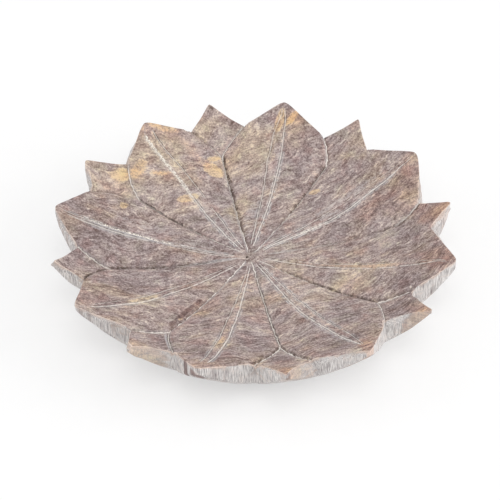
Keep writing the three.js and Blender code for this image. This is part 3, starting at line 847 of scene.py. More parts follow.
@dataclass(frozen=True)
class TopCarver:
    """Carves the upper surface: crowned main petals, sunk back petals and the hub."""

    plan: LotusPlan = LotusPlan()
    line_start: float = 3.4
    line_gather: float = 0.25
    line_opening: float = 3.0
    line_closing: float = 2.0
    line_cut: float = 0.4
    chalk_cut: float = 0.5
    strip_least: float = 0.35
    strip_most: float = 0.42
    strip_edge: float = 0.35
    tip_draw: float = 6.0
    table_step: float = 0.5
    table_reach: float = 66.0
    smoothed: int = 6
    field_columns: int = 11
    back_columns: int = 10
    lip_columns: tuple[float, ...] = (0.75, 0.42, 0.2, 0.0)
    lip_power: float = 1.35
    hand_from: float = 0.1
    hand_to: float = 2.4
    rim_far: float = 12.0
    prick_centre: Pair = (-1.0, -0.3)
    prick_radius: float = 0.55
    prick_depth: float = 0.5
    prick_soft: float = 1.25
    prick_dark: float = 1.5
    hub_chalk: float = 0.4
    hub_fill: float = 0.2
    hub_fade: float = 0.6
    hub_clear: float = 0.4
    hub_rows: tuple[float, ...] = (0.0, 0.06, 0.12, 0.17, 0.22, 0.3, 0.42, 0.56, 0.7, 0.85, 1.0)

    def midrib(self, index: int, left: Side, right: Side) -> tuple[Array, Array, Array]:
        """Middle of the midrib's strip, row by row.

        The two scribed lines are read from the petal's own tables, smoothed over a few
        millimetres and drawn to the tip past the end of the tables. The middle lies halfway
        between them.

        Args:
            index: which main petal.
            left: its left side.
            right: its right side.

        Returns:
            Plan points of the middle, half the strip's width and the radius along the axis.
        """
        axis = polar(1.0, self.plan.bearing(index))
        rightward = np.array([axis[1], -axis[0]])
        tip = self.plan.tip(index)
        aside, end = float(tip @ rightward), float(tip @ axis)
        reach = 0.5 * (left.point @ axis + right.point @ axis)
        fine = np.arange(0.0, self.table_reach, self.table_step)
        radii = np.array([0.0, *LINE_RADII, max(end, LINE_RADII[-1] + self.table_step)])
        kernel = np.hanning(2 * self.smoothed + 1)
        kernel /= kernel.sum()
        lines = []
        for offsets in (PETALS[index].left_line, PETALS[index].right_line):
            known = np.array([self.line_gather * offsets[0], *offsets, aside])
            drawn = np.interp(fine, radii, known)
            drawn = np.pad(drawn, self.smoothed, mode="edge")
            lines.append(np.convolve(drawn, kernel, mode="valid"))
        centre = np.interp(reach, fine, 0.5 * (lines[0] + lines[1]))
        half = np.interp(reach, fine, 0.5 * (lines[1] - lines[0]))
        to_tip = smooth((reach - (end - self.tip_draw)) / self.tip_draw)
        centre = centre + (aside - centre) * to_tip
        middle = axis * reach[:, None] + rightward * centre[:, None]
        middle[-1] = left.point[-1]
        return middle, half, reach

    def sunk(self, surface: Array, side: Side, from_side: Array, lip: Array) -> Array:
        """Height of a surface that falls to its side over a lip.

        The fall is the gap at the side times the share of the lip that is crossed, to a power.

        Args:
            surface: height of the surface without the lip.
            side: the outer side, which has its own height.
            from_side: distance across each row to the side.
            lip: width of the lip in each row.

        Returns:
            The height of each point.
        """
        reached = np.clip(1.0 - from_side / np.maximum(lip, TINY), 0.0, 1.0)
        return surface - (surface[:, -1:] - side.height[:, None]) * reached**self.lip_power

    @staticmethod
    def spread(middle: Array, side: Side, share: Array) -> tuple[Array, Array]:
        """Plan points at shares of the way from the middle to a side, and their radii."""
        plan = middle[:, None, :] + (side.point - middle)[:, None, :] * share[..., None]
        return plan, np.linalg.norm(plan, axis=-1)

    def side_marks(self, side: Side, plan: Array, from_side: Array, hand: int) -> dict[Mark, Array]:
        """Marks that depend on a side's groove and rim.

        Along the groove the distance is measured across the row, and past the notch it is
        measured to the notch. The rim's distance swaps the two.

        Args:
            side: the outer side.
            plan: plan points of the half.
            from_side: distance across each row to its outer end.
            hand: 1 clockwise of the groove, -1 on its other side.

        Returns:
            The marks, with no scribed line near.
        """
        on_rim = side.on_rim[:, None] > 0
        to_notch = np.linalg.norm(plan - side.point[side.notch_row()], axis=-1)
        groove = np.minimum(FAR, np.where(on_rim, to_notch, from_side))
        marks = plain_marks(groove.shape)
        marks[Mark.GROOVE] = groove
        marks[Mark.HAND] = hand * smooth(groove / self.hand_from) * smooth(self.hand_to - groove)
        marks[Mark.RIM] = np.minimum(self.rim_far, np.where(on_rim, from_side, to_notch))
        marks[Mark.FILL] += side.fill[:, None]
        marks[Mark.DIRT] += side.dirt[:, None]
        marks[Mark.LEAN] += side.lean[:, None]
        return marks

    def main_half(
        self, index: int, midrib: tuple[Array, Array, Array], side: Side, hand: int
    ) -> Patch:
        """Half of a main petal, from its midrib out to one side.

        A point's height is the dish's height, less the crown's drop times its share of the width
        to the crown's power, less the V of the scribed line, the shallow trough beside it, the
        bevel and the groove or rounded rim at the outer end.

        Args:
            index: which main petal.
            midrib: plan points of the midrib, the distance to its line and the radius, by row.
            side: the outer side.
            hand: 1 for the petal's left half, -1 for its right.

        Returns:
            The half as rows from the middle of the dish outwards and columns from the midrib out.
        """
        form, cuts, cut = self.plan.form, self.plan.cuts, PETALS[index]
        middle, half, reach = midrib
        width = np.linalg.norm(side.point - middle, axis=1)[:, None]
        size = np.minimum(1.0, width / cuts.detail_width)
        widths = (cuts.scribe_half, cuts.groove_half, cuts.bevel_width)
        scribe, lip, bevel_width = (full * size for full in widths)
        line = np.clip(half[:, None], self.strip_least * size, self.strip_most * width)
        bevel_start, edge = width - bevel_width, width - lip
        inside, outside = line - scribe, line + scribe
        shares = np.linspace(0.0, 1.0, self.field_columns + 1)[1:]
        at = np.hstack([
            0.0 * line, 0.5 * inside, inside, line - 0.5 * scribe, line, line + 0.5 * scribe,
            outside, outside + (bevel_start - outside) * shares, 0.5 * (bevel_start + edge), edge,
            width - lip * np.array(self.lip_columns),
        ])
        share, from_side = at / np.maximum(width, TINY), width - at
        plan, radius = self.spread(middle, side, share)
        opens = smooth((reach - self.line_start) / self.line_opening)
        opens = opens * smooth((cut.line_end - reach) / self.line_closing)
        chalk, warm, dust = (
            (np.interp(reach, LINE_RADII, table) * opens)[:, None]
            for table in (cut.left_chalk if hand > 0 else cut.right_chalk, cut.warm, cut.dust)
        )
        cut_share = self.line_cut * opens[:, None] + self.chalk_cut * np.abs(chalk)
        vee = np.clip(1.0 - np.abs(at - line) / np.maximum(scribe, TINY), 0.0, 1.0)
        trough = smooth(1.0 - (at - line) / cuts.trough_width) * (at >= line)
        lowered = (cuts.scribe_depth * vee + cuts.trough_depth * trough) * size * cut_share
        bevelled = side.bevel[:, None] * smooth(1.0 - from_side / np.maximum(bevel_width, TINY))
        surface = form.dish(radius) - side.drop[:, None] * share**form.crown_power
        height = self.sunk(surface - lowered - bevelled, side, from_side, lip)
        marks = self.side_marks(side, plan, from_side, hand)
        within = smooth((line + self.strip_edge - at) / (2.0 * self.strip_edge))
        marks[Mark.LINE] = at - line
        marks[Mark.CHALK] += chalk
        marks[Mark.WARM], marks[Mark.DUST] = warm * within, dust * within
        return Patch(raised(plan, height), marks)

    def back_half(self, index: int, middle: Array, side: Side, hand: int) -> Patch:
        """Half of a back petal, plain from its middle out to its groove or rim.

        Args:
            index: which back petal.
            middle: plan points of the petal's middle.
            side: the outer side.
            hand: 1 for the petal's left half, -1 for its right.

        Returns:
            The half as rows from the fork outwards and columns from the middle out.
        """
        cuts = self.plan.cuts
        width = np.linalg.norm(side.point - middle, axis=1)[:, None]
        lip = cuts.groove_half * np.minimum(1.0, width / cuts.back_detail_width)
        shares = np.linspace(0.0, 1.0, self.back_columns)
        at = np.hstack([(width - lip) * shares, width - lip * np.array(self.lip_columns)])
        from_side = width - at
        plan, radius = self.spread(middle, side, at / np.maximum(width, TINY))
        ends = (self.plan.fork(index), self.plan.back_tip(index))
        surface = self.plan.form.back(radius, *(float(np.linalg.norm(end)) for end in ends))
        height = self.sunk(surface, side, from_side, lip)
        return Patch(raised(plan, height), self.side_marks(side, plan, from_side, hand))

    @staticmethod
    def whole(left: Patch, right: Patch) -> Patch:
        """Both halves of a petal side by side.

        Args:
            left: the left half, with its middle column first.
            right: the right half, with the same middle column first.

        Returns:
            The petal, with its columns from the left side to the right.
        """
        points = np.concatenate([left.points[:, ::-1], right.points[:, 1:]], axis=1)
        marks = {
            mark: np.concatenate([values[:, ::-1], right.marks[mark][:, 1:]], axis=1)
            for mark, values in left.marks.items()
        }
        return Patch(points, marks)

    def hub(self, first: Patch) -> Patch:
        """Fan from the compass prick out to a petal's first row.

        Rows lie on straight lines from the prick to the first row. The prick is a round pit
        whose depth falls off as a smooth step of the distance from its centre.

        Args:
            first: the petal's patch, whose first row the fan meets.

        Returns:
            The fan.
        """
        centre = np.array([*self.prick_centre, self.plan.form.floor])
        steps = np.array(self.hub_rows)[:, None]
        points = centre + (first.points[0] - centre) * steps[..., None]
        away = np.linalg.norm(points[..., :2] - centre[:2], axis=-1) / self.prick_radius
        points[:-1, :, 2] -= self.prick_depth * smooth(self.prick_soft - away[:-1])
        pit = smooth(self.prick_dark - away)
        marks = {mark: values[0] * np.ones_like(away) for mark, values in first.marks.items()}
        marks[Mark.CHALK] *= smooth((steps - self.hub_chalk) / self.hub_fade)
        marks[Mark.FILL] *= smooth((steps - self.hub_fill) / self.hub_fade)
        marks[Mark.GROOVE] = (marks[Mark.GROOVE] + self.hub_clear * (1 - steps)) * (1 - pit)
        marks[Mark.DIRT] = marks[Mark.DIRT] * steps * (1 - pit) + pit
        return Patch(points, marks)

    def carve(self) -> tuple[list[Patch], Array]:
        """Carves every petal and the hub.

        Returns:
            The patches, and the rim as one closed run of points, clockwise seen from above.
        """
        plan, around = self.plan, range(PETAL_COUNT)
        lefts, rights = ([plan.border(index, side) for index in around] for side in (-1, 1))
        patches: list[Patch] = []
        runs: list[Array] = []
        for index in around:
            left, right = (plan.whole_side(b[index], index, False) for b in (lefts, rights))
            midrib = self.midrib(index, left, right)
            sides = ((left, 1), (right, -1))
            petal = self.whole(*(self.main_half(index, midrib, s, hand) for s, hand in sides))
            borders = (rights[index], lefts[(index + 1) % PETAL_COUNT])
            back_left, back_right = (plan.whole_side(b, index, True) for b in borders)
            middle = 0.5 * (back_left.point + back_right.point)
            sides = ((back_left, 1), (back_right, -1))
            back = self.whole(*(self.back_half(index, middle, s, hand) for s, hand in sides))
            patches += [petal, self.hub(petal), back]
            for patch, side in ((petal, left), (back, back_left)):
                start = side.notch_row()
                down = patch.points[start:-1, -1][::-1]
                runs.append(np.vstack([patch.points[start:, 0], down])[:-1])
        return patches, np.vstack(runs)


@dataclass(frozen=True)
class UnderCarver:
    """Files the rim walls and grinds the underside and the flat base."""

    form: DishForm = DishForm()
    wall_rows: tuple[float, ...] = (0.0, 0.05, 0.12, 0.24, 0.38, 0.52, 0.66, 0.8, 0.9, 0.965)
    under_rows: tuple[float, ...] = (0.012, 0.04, 0.1, 0.2, 0.35, 0.55, 0.78, 1.0)
    base_rows: tuple[float, ...] = (0.985, 0.7, 0.35, 0.0)
    lower_round: float = 0.3
    file_depth: float = 0.09
    file_cell: float = 0.95
    facet_depth: float = 0.16
    facet_cell: float = 3.1
    ripple_depth: float = 0.05
    ripple_cell: float = 1.6
    ripple_stretch: float = 0.35
    marks_start: float = 0.16
    round_start: float = 0.86
    round_end: float = 0.98
    round_share: float = 0.6
    settle_share: float = 0.1
    settle_ripple: float = 0.9
    sill_share: float = 0.35

    def carve(self, rim: Array) -> Patch:
        """Wall, underside and base as loops that follow the rim.

        A wall point keeps the rim's place in plan, and its height falls evenly to the underside.
        File marks move it along the plan normal by noises of its place in plan, and ripples by one
        that also changes with its height. Below the wall, which ends in a rounded foot, a loop's
        distance from the blank's centre shrinks evenly to the base's edge.

        Args:
            rim: the rim's points, clockwise seen from above.

        Returns:
            The loops as rows, closed in the columns.
        """
        form, plan, top = self.form, rim[:, :2], rim[:, 2]
        centre = np.array(form.blank_centre)
        radius, direction = np.linalg.norm(plan - centre, axis=1), unit(plan - centre)
        foot = np.minimum(form.underside(radius), top - form.thinnest_tip)
        run = np.roll(plan, -1, axis=0) - np.roll(plan, 1, axis=0)
        outward = unit(np.stack([-run[:, 1], run[:, 0]], axis=1))
        flat = rim * np.array([1.0, 1.0, 0.0])
        filed = self.file_depth * noise(flat, self.file_cell, Seed.FILE)
        filed = filed + self.facet_depth * noise(flat, self.facet_cell, Seed.FACET)

        drop = np.array(self.wall_rows)[:, None]
        height = top + (foot - top) * drop
        slant = raised(np.broadcast_to(plan, (*height.shape, 2)), height * self.ripple_stretch)
        ripple = filed + self.ripple_depth * noise(slant, self.ripple_cell, Seed.RIPPLE)
        rounding = smooth((drop - self.round_start) / (self.round_end - self.round_start))
        press = smooth(drop / self.marks_start) * ripple
        press = press - self.lower_round * rounding * self.round_share
        wall = raised(plan + outward * press[..., None], height)

        share = np.array(self.under_rows)[:, None]
        under_radius = radius + (form.base_radius - radius) * share
        settle = smooth(1.0 - share / self.settle_share)
        settle = settle * (ripple[-1] * self.settle_ripple - self.lower_round)
        under_plan = centre + direction * under_radius[..., None] + outward * settle[..., None]
        over = (foot - form.underside(radius)) * smooth(1.0 - share / self.sill_share)
        under = raised(under_plan, form.underside(under_radius) + over)

        base_radius = form.base_radius * np.array(self.base_rows)[:, None, None]
        base_plan = centre + direction * base_radius
        base = raised(base_plan, np.zeros(base_plan.shape[:2]))

        loops = np.concatenate([wall, under, base], axis=0)
        loops = np.concatenate([loops, loops[:, :1]], axis=1)
        marks = plain_marks(loops.shape[:2])
        marks[Mark.RIM] = -np.maximum(0.0, loops[0, :, 2] - loops[..., 2])
        marks[Mark.UNDER][len(wall):] = 1.0
        return Patch(loops, marks)


# Shader maths


@dataclass(frozen=True)
class Wire:
    """An output socket in a node tree, so that shader maths reads as plain expressions."""

    graph: "Graph"
    socket: Any

    def math(self, operation: str, *others: "Value") -> "Wire":
        """A Math node on this wire and any others."""
        return self.graph.node("ShaderNodeMath", {"operation": operation}, [self, *others])

    def __add__(self, other: "Value") -> "Wire":
        """This wire plus a value."""
        return self.math("ADD", other)

    __radd__ = __add__

    def __sub__(self, other: "Value") -> "Wire":
        """This wire less a value."""
        return self.math("SUBTRACT", other)

    def __rsub__(self, other: float) -> "Wire":
        """A value less this wire."""
        return self.graph.node("ShaderNodeMath", {"operation": "SUBTRACT"}, [other, self])

    def __mul__(self, other: "Value") -> "Wire":
        """This wire times a value."""
        return self.math("MULTIPLY", other)

    __rmul__ = __mul__

    def __abs__(self) -> "Wire":
        """This wire without its sign."""
        return self.math("ABSOLUTE")

    def at_most(self, other: "Value") -> "Wire":
        """The smaller of this wire and a value."""
        return self.math("MINIMUM", other)

    def at_least(self, other: "Value") -> "Wire":
        """The larger of this wire and a value."""
        return self.math("MAXIMUM", other)

    def held(self) -> "Wire":
        """This wire held between 0 and 1."""
        return self.at_most(1.0).at_least(0.0)

    def step(self, start: float, end: float) -> "Wire":
        """Smooth step of this wire, from 0 at one value to 1 at another.

        Args:
            start: where it is 0.
            end: where it is 1, which may be the smaller of the two.

        Returns:
            The step.
        """
        low, high, first, last = (start, end, 0.0, 1.0) if start < end else (end, start, 1.0, 0.0)
        settings = {"interpolation_type": "SMOOTHSTEP"}
        return self.graph.node("ShaderNodeMapRange", settings, [self, low, high, first, last])


Value = Union[Wire, float]
Sockets = Union[Sequence[Any], dict[Any, Any]]


@dataclass(frozen=True)
class Graph:
    """A node tree that grows one node at a time."""

    tree: Any

    @classmethod
    def emptied(cls, owner: Any) -> "Graph":
        """The node tree of a material or a world, with nothing in it.

        Args:
            owner: the material or world.

        Returns:
            The tree, ready to grow.
        """
        owner.use_nodes = True
        owner.node_tree.nodes.clear()
        return cls(owner.node_tree)

    def node(self, kind: str, settings: dict[str, Any], sockets: Sockets, out: Any = 0) -> Wire:
        """Adds a node.

        Args:
            kind: Blender's node type.
            settings: the node's own properties, which are set first. "stops" is a ramp's list
                of places and colours.
            sockets: values or wires for the inputs, in order or by name or number.
            out: name or number of the output to return.

        Returns:
            The wire from that output.
        """
        made = self.tree.nodes.new(kind)
        for name, value in settings.items():
            if name == "stops":
                self._set_stops(made.color_ramp.elements, value)
            else:
                setattr(made, name, value)
        for key, value in sockets.items() if isinstance(sockets, dict) else enumerate(sockets):
            if isinstance(value, Wire):
                self.tree.links.new(value.socket, made.inputs[key])
            else:
                made.inputs[key].default_value = value
        return Wire(self, made.outputs[out])

    @staticmethod
    def _set_stops(elements: Any, stops: Sequence[tuple[float, Colour]]) -> None:
        """Gives a colour ramp its places and colours.

        Args:
            elements: the ramp's own stops.
            stops: the places and colours, of which there are at least as many.
        """
        while len(elements) < len(stops):
            elements.new(1.0)
        for element, (place, colour) in zip(elements, stops):
            element.position = place
            element.color = (*colour, 1.0)

    def finish(self, shader: Wire, output: str = "ShaderNodeOutputMaterial") -> None:
        """Joins a shader to the tree's output."""
        end = self.tree.nodes.new(output)
        self.tree.links.new(shader.socket, end.inputs["Surface"])

    def mark(self, mark: Mark) -> Wire:
        """One of the mesh's marks."""
        return self.node("ShaderNodeAttribute", {"attribute_name": mark.value}, {}, "Fac")

    def vector(self, operation: str, *values: Any) -> Wire:
        """A Vector Math node on wires and vectors."""
        return self.node("ShaderNodeVectorMath", {"operation": operation}, values)

    def blend(self, first: Any, second: Any, share: Value, how: str = "MIX") -> Wire:
        """Two colours mixed by a share.

        Args:
            first: the colour or wire at a share of 0.
            second: the colour or wire at a share of 1.
            share: how much of the second shows.
            how: one of the Mix node's ways.

        Returns:
            The mixed colour.
        """
        settings = {"data_type": "RGBA", "blend_type": how, "clamp_factor": True}
        first, second = (c if isinstance(c, Wire) else (*c, 1.0) for c in (first, second))
        return self.node("ShaderNodeMix", settings, {0: share, 6: first, 7: second}, 2)

    def seen(self) -> Wire:
        """Tells direct sight from soft light.

        Returns:
            1 for what the camera, a sharp reflection or clear glass shows, and 0 otherwise.
        """
        names = ("Is Camera Ray", "Is Glossy Ray", "Is Transmission Ray")
        camera, glossy, clear = (self.node("ShaderNodeLightPath", {}, {}, name) for name in names)
        return camera.at_least(glossy).at_least(clear)

    def grain(
        self, where: Wire, scale: float, detail: float = 3.0, rough: float = 0.55, out: Any = 0
    ) -> Wire:
        """Noise from 0 to 1.

        Args:
            where: coordinates, in which a feature is about 1 / scale wide.
            scale: how fine it is.
            detail: how many finer noises are added to it.
            rough: how strong these are.
            out: name or number of the output to return.

        Returns:
            The noise.
        """
        sockets = {"Vector": where, "Scale": scale, "Detail": detail, "Roughness": rough}
        return self.node("ShaderNodeTexNoise", {"noise_dimensions": "3D"}, sockets, out)

    def cells(self, where: Wire, cell: Colour, turn: Colour = (0.0, 0.0, 0.0)) -> Wire:
        """Coordinates with one unit for each cell, in axes turned by three angles."""
        sockets = {"Vector": where, "Rotation": turn, "Scale": cell}
        return self.node("ShaderNodeMapping", {"vector_type": "TEXTURE"}, sockets)


def srgb(red: float, green: float, blue: float) -> Colour:
    """Linear colour of a display colour given in 0 to 255, by undoing the sRGB curve.

    Args:
        red: red channel.
        green: green channel.
        blue: blue channel.

    Returns:
        The three linear channels.
    """
    values = (channel / 255.0 for channel in (red, green, blue))
    return tuple(v / 12.92 if v <= 0.04045 else ((v + 0.055) / 1.055) ** 2.4 for v in values)


@dataclass(frozen=True)
class Soapstone:
    """Layered, mottled soapstone with chalky cut lines, rubbed on top and raw on the walls.

    The stops run from the darkest stone to the palest. A tint is a colour that the stone under it
    is multiplied by. Each of strokes is one stroke of a scribed line: millimetres beside the
    line's place, the scale of its gaps, the noise at which it starts to show, how much the line's
    chalk adds to that noise, and its strength. A cell is the size in millimetres of one unit of
    noise along the stone's layers or the file's strokes.
    """

    stops: tuple[tuple[float, Colour], ...] = (
        (0.08, srgb(106, 86, 80)),
        (0.3, srgb(141, 123, 119)),
        (0.5, srgb(172, 154, 149)),
        (0.7, srgb(200, 183, 175)),
        (0.92, srgb(230, 214, 198)),
    )
    beige_tint: Colour = (1.0, 0.965, 0.865)
    mauve_tint: Colour = (0.935, 0.955, 1.0)
    olive_tint: Colour = (0.955, 1.0, 0.93)
    red_tint: Colour = (1.0, 0.885, 0.87)
    ochre_tint: Colour = (1.0, 0.87, 0.64)
    rust_tint: Colour = (1.0, 0.79, 0.68)
    peat_tint: Colour = (0.42, 0.33, 0.32)
    cream: Colour = srgb(250, 243, 236)
    bright: Colour = srgb(255, 248, 236)
    dust: Colour = srgb(194, 192, 194)
    # Dark dirt and painted shade, laid on groove walls and beside the scribed lines; the next
    # colour is a browner smear of the same.
    dirt: Colour = srgb(80, 66, 59)
    brown_dirt_and_shade: Colour = srgb(128, 101, 84)
    wall_pale: Colour = srgb(238, 234, 231)
    wall_dark: Colour = srgb(152, 144, 144)
    edge: Colour = srgb(206, 180, 165)
    # Pale worn edge, also a painted highlight along the rim.
    worn_arris_highlight: Colour = srgb(240, 222, 210)
    tan: Colour = srgb(226, 206, 190)
    strokes: tuple[tuple[float, float, float, float, float], ...] = (
        (0.0, 0.55, 0.5, 0.46, 0.85),
        (0.6, 0.7, 1.0, 0.66, 0.75),
        (-0.55, 0.62, 1.0, 0.66, 0.65),
    )
    dip: float = 35.0
    dip_bearing: float = -58.0
    layer_cell: Colour = (3.6, 5.2, 1.0)
    streak_cell: Colour = (1.5, 2.4, 0.42)
    wisp_cell: Colour = (1.7, 3.6, 0.4)
    scratch_cell: Colour = (3.2, 0.24, 2.0)
    scratch_bearings: tuple[float, ...] = (42.0, 8.0)
    file_cell: Colour = (0.15, 0.15, 3.2)
    band_cell: Colour = (1.6, 1.6, 12.0)
    bend: float = 5.0
    bend_scale: float = 0.09
    tone: float = 0.464
    roughness: float = 0.72
    specular: float = 0.4
    bump_strength: float = 0.7
    bump_height: float = 0.00022

    def dress(self, piece: bpy.types.Object) -> None:
        """Gives the piece this finish."""
        piece.data.materials.clear()
        piece.data.materials.append(self.material())

    def material(self) -> bpy.types.Material:
        """The stone as a material: rubbed top and raw walls, parted by a worn edge with a painted
        highlight.

        Returns:
            The new material.
        """
        made = bpy.data.materials.new("soapstone")
        graph = Graph.emptied(made)
        mark, grain, blend = graph.mark, graph.grain, graph.blend
        place = graph.node("ShaderNodeTexCoord", {}, {}, "Object")
        place = graph.node("ShaderNodeVectorMath", {"operation": "SCALE"}, {0: place, 3: 1.0 / MM})
        slow = grain(place, self.bend_scale, 1.0, 0.5, "Color")
        waves = graph.vector("SUBTRACT", slow, (0.5, 0.5, 0.5))
        bent = graph.vector("MULTIPLY_ADD", waves, (self.bend, self.bend, self.bend), place)
        layers = self.layered(graph, bent, self.layer_cell)
        streaks = self.layered(graph, bent, self.streak_cell)
        top = self.top_colour(graph, place, bent, layers, streaks)
        ragged = grain(place, 0.8, 2.0) - 0.5
        worn = grain(place, 0.35, 2.0, 0.6)
        inside = mark(Mark.RIM) - mark(Mark.FACET)
        below = (inside + ragged * 0.6).step(0.02, -0.3)
        colour = blend(top, self.wall_colour(graph, place, layers, top), below)
        band = (abs(inside + 0.35) + ragged * 1.1).step(0.75, 0.1)
        colour = blend(colour, self.edge, band * worn.step(0.4, 0.6) * 0.55)
        # Painted highlight with wear: a pale peach line along the worn edge.
        worn_arris_highlight = (abs(inside + 0.04) + ragged * 0.3).step(0.24, 0.06)
        colour = blend(colour, self.worn_arris_highlight, worn_arris_highlight * worn.step(0.36, 0.52) * 0.75)
        fine = grain(place, 4.2, 2.0)
        rough = (fine - 0.5) * 0.22 + self.roughness + below * 0.12
        height = (fine * 0.35 + grain(streaks, 1.0, 3.0) * 0.65) * (1.0 - below * 0.6)
        height = height + self.file_marks(graph, place) * below * 1.2
        bump = {"Strength": self.bump_strength, "Distance": self.bump_height, "Height": height}
        graph.finish(graph.node("ShaderNodeBsdfPrincipled", {}, {
            "Base Color": colour,
            "Roughness": rough.held(),
            "Normal": graph.node("ShaderNodeBump", {}, bump, "Normal"),
            "Specular IOR Level": self.specular,
        }))
        return made

    def layered(self, graph: Graph, place: Wire, cell: Colour) -> Wire:
        """Coordinates turned so that Z crosses the stone's tilted layers, with one unit a cell."""
        turn = (0.0, math.radians(self.dip), math.radians(self.dip_bearing))
        return graph.cells(place, cell, turn)

    def file_marks(self, graph: Graph, place: Wire) -> Wire:
        """Upright strokes of a coarse file, about half a millimetre apart."""
        return graph.grain(graph.cells(place, self.file_cell), 1.0, 2.0, 0.6)

    def scratches(self, graph: Graph, place: Wire, bearing: float) -> Wire:
        """Sparse fine strokes along one bearing, from 0 to 1."""
        turned = graph.cells(place, self.scratch_cell, (0.0, 0.0, math.radians(bearing)))
        return graph.grain(turned, 1.0, 1.0, 0.5).step(0.63, 0.74)

    def top_colour(
        self, graph: Graph, place: Wire, bent: Wire, layers: Wire, streaks: Wire
    ) -> Wire:
        """Colour of the rubbed upper surface.

        Broad layers, thin streaks, fine speckle, sparse flecks and scratches add up to one tone,
        which a ramp turns into stone. Slow drifts of hue tint it. The named patches, the grooves'
        dirt and painted shade, and the chalk of the cut lines with painted shade beside them go
        over it in that order.

        Args:
            graph: the material's tree.
            place: coordinates in millimetres.
            bent: the same coordinates, waved.
            layers: coordinates of the broad layers.
            streaks: coordinates of the thin streaks.

        Returns:
            The colour.
        """
        mark, grain, blend = graph.mark, graph.grain, graph.blend
        broad = grain(layers, 1.0, 4.0, 0.6) - 0.5
        thin = grain(streaks, 1.0, 4.0, 0.65) - 0.5
        speck = grain(place, 1.7, 5.0, 0.75) - 0.5
        cloud = grain(place, 0.11, 2.0, 0.5) - 0.5
        fleck = grain(place, 2.2, 1.0, 0.5)
        wisp = grain(self.layered(graph, bent, self.wisp_cell), 1.0, 2.0, 0.5)
        tone = broad * 0.95 + thin * 0.9 + speck * 1.75 + cloud * 0.2 + self.tone
        tone = tone + fleck.step(0.62, 0.76) * 0.2 - fleck.step(0.36, 0.22) * 0.16
        tone = tone + wisp.step(0.59, 0.68) * 0.26 - wisp.step(0.4, 0.3) * 0.16
        for bearing in self.scratch_bearings:
            tone = tone + self.scratches(graph, place, bearing) * 0.13
        tone = tone + mark(Mark.BEIGE) * 0.19 - mark(Mark.SLATE) * 0.17 - mark(Mark.SHADE) * 0.12
        ragged = thin * 0.8 + speck * 0.9
        ochre = (mark(Mark.OCHRE) + ragged * 0.6 + broad * 0.6).step(0.2, 0.8)
        warm = (mark(Mark.WARM) + ragged * 0.8).step(0.15, 0.95)
        tone = tone + ochre * 0.3 + warm * 0.1
        colour = graph.node("ShaderNodeValToRGB", {"stops": self.stops}, [tone], "Color")
        drift = grain(layers, 0.3, 2.0, 0.5) - 0.5 + cloud * 0.8
        drift = drift + mark(Mark.BEIGE) * 0.3 - mark(Mark.SLATE) * 0.2
        turn = grain(place, 0.2, 2.0, 0.5) - 0.5 - mark(Mark.BEIGE) * 0.12
        for share, tint in (
            (drift.step(0.0, 0.26), self.beige_tint),
            (drift.step(0.04, -0.2), self.mauve_tint),
            (turn.step(0.0, 0.2) * 0.85, self.red_tint),
            (turn.step(-0.04, -0.22) * 0.8, self.olive_tint),
            ((mark(Mark.RUST) + ragged * 0.6).step(0.15, 1.0) * 0.75, self.rust_tint),
            (warm * 0.55, self.rust_tint),
            (ochre * 0.85, self.ochre_tint),
        ):
            colour = blend(colour, tint, share, "MULTIPLY")
        dusted = (mark(Mark.DUST) + ragged * 1.2).step(0.25, 0.95)
        colour = blend(colour, self.dust, dusted * 0.6)
        spots = (mark(Mark.SPOT) + ragged * 0.9).step(0.4, 0.85)
        colour = blend(colour, self.peat_tint, spots * 0.85, "MULTIPLY")
        colour = self.fill_grooves(graph, place, colour, speck)
        return self.cut_lines(graph, place, colour, speck)

    def fill_grooves(self, graph: Graph, place: Wire, colour: Wire, speck: Wire) -> Wire:
        """Lays painted shade with dirt on a groove's darker wall, and dust along its bottom, over a
        colour.

        Args:
            graph: the material's tree.
            place: coordinates in millimetres.
            colour: the stone's colour.
            speck: fine speckle, from -0.5 to 0.5.

        Returns:
            The colour.
        """
        mark, grain, blend = graph.mark, graph.grain, graph.blend
        broken = grain(place, 0.6, 3.0, 0.7)
        sway = grain(place, 0.7, 2.0, 0.6) - 0.5
        groove, hand, lean = mark(Mark.GROOVE), mark(Mark.HAND), mark(Mark.LEAN)
        fill, dirt, side = mark(Mark.FILL), mark(Mark.DIRT), hand * lean
        signed, far = groove * hand + sway * 0.9, groove - 0.7
        # Painted shade with brown dirt, smeared along the groove's darker wall.
        dirt_and_shade_smear = (groove + speck * 1.8 + sway * 2.0).step(1.6, 0.5) * dirt * (side + 0.15).held()
        colour = blend(colour, self.brown_dirt_and_shade, dirt_and_shade_smear * broken.step(0.46, 0.6) * 0.8)
        haze = (groove + speck * 1.2).step(1.1, 0.3) * fill.step(0.3, 1.0)
        colour = blend(colour, self.dust, haze * (0.5 - side * 0.6).held() * 0.45)
        # Painted shade with dirt: the dark along the groove's walls, broken by noise.
        dark = (abs(signed - lean * 0.34).at_least(far) + speck * 0.6).step(0.7, 0.3) * dirt
        dark = dark * (broken.step(0.4, 0.56) * 0.75 + 0.25)
        colour = blend(colour, self.dirt, dark.held() * 0.95)
        bottom = (abs(signed + lean * 0.16).at_least(far) + speck * 0.2).step(0.22, 0.07)
        worn = (broken + fill * 0.4).step(0.52, 0.66)
        return blend(colour, self.cream, bottom * worn * (fill * 1.15).held())

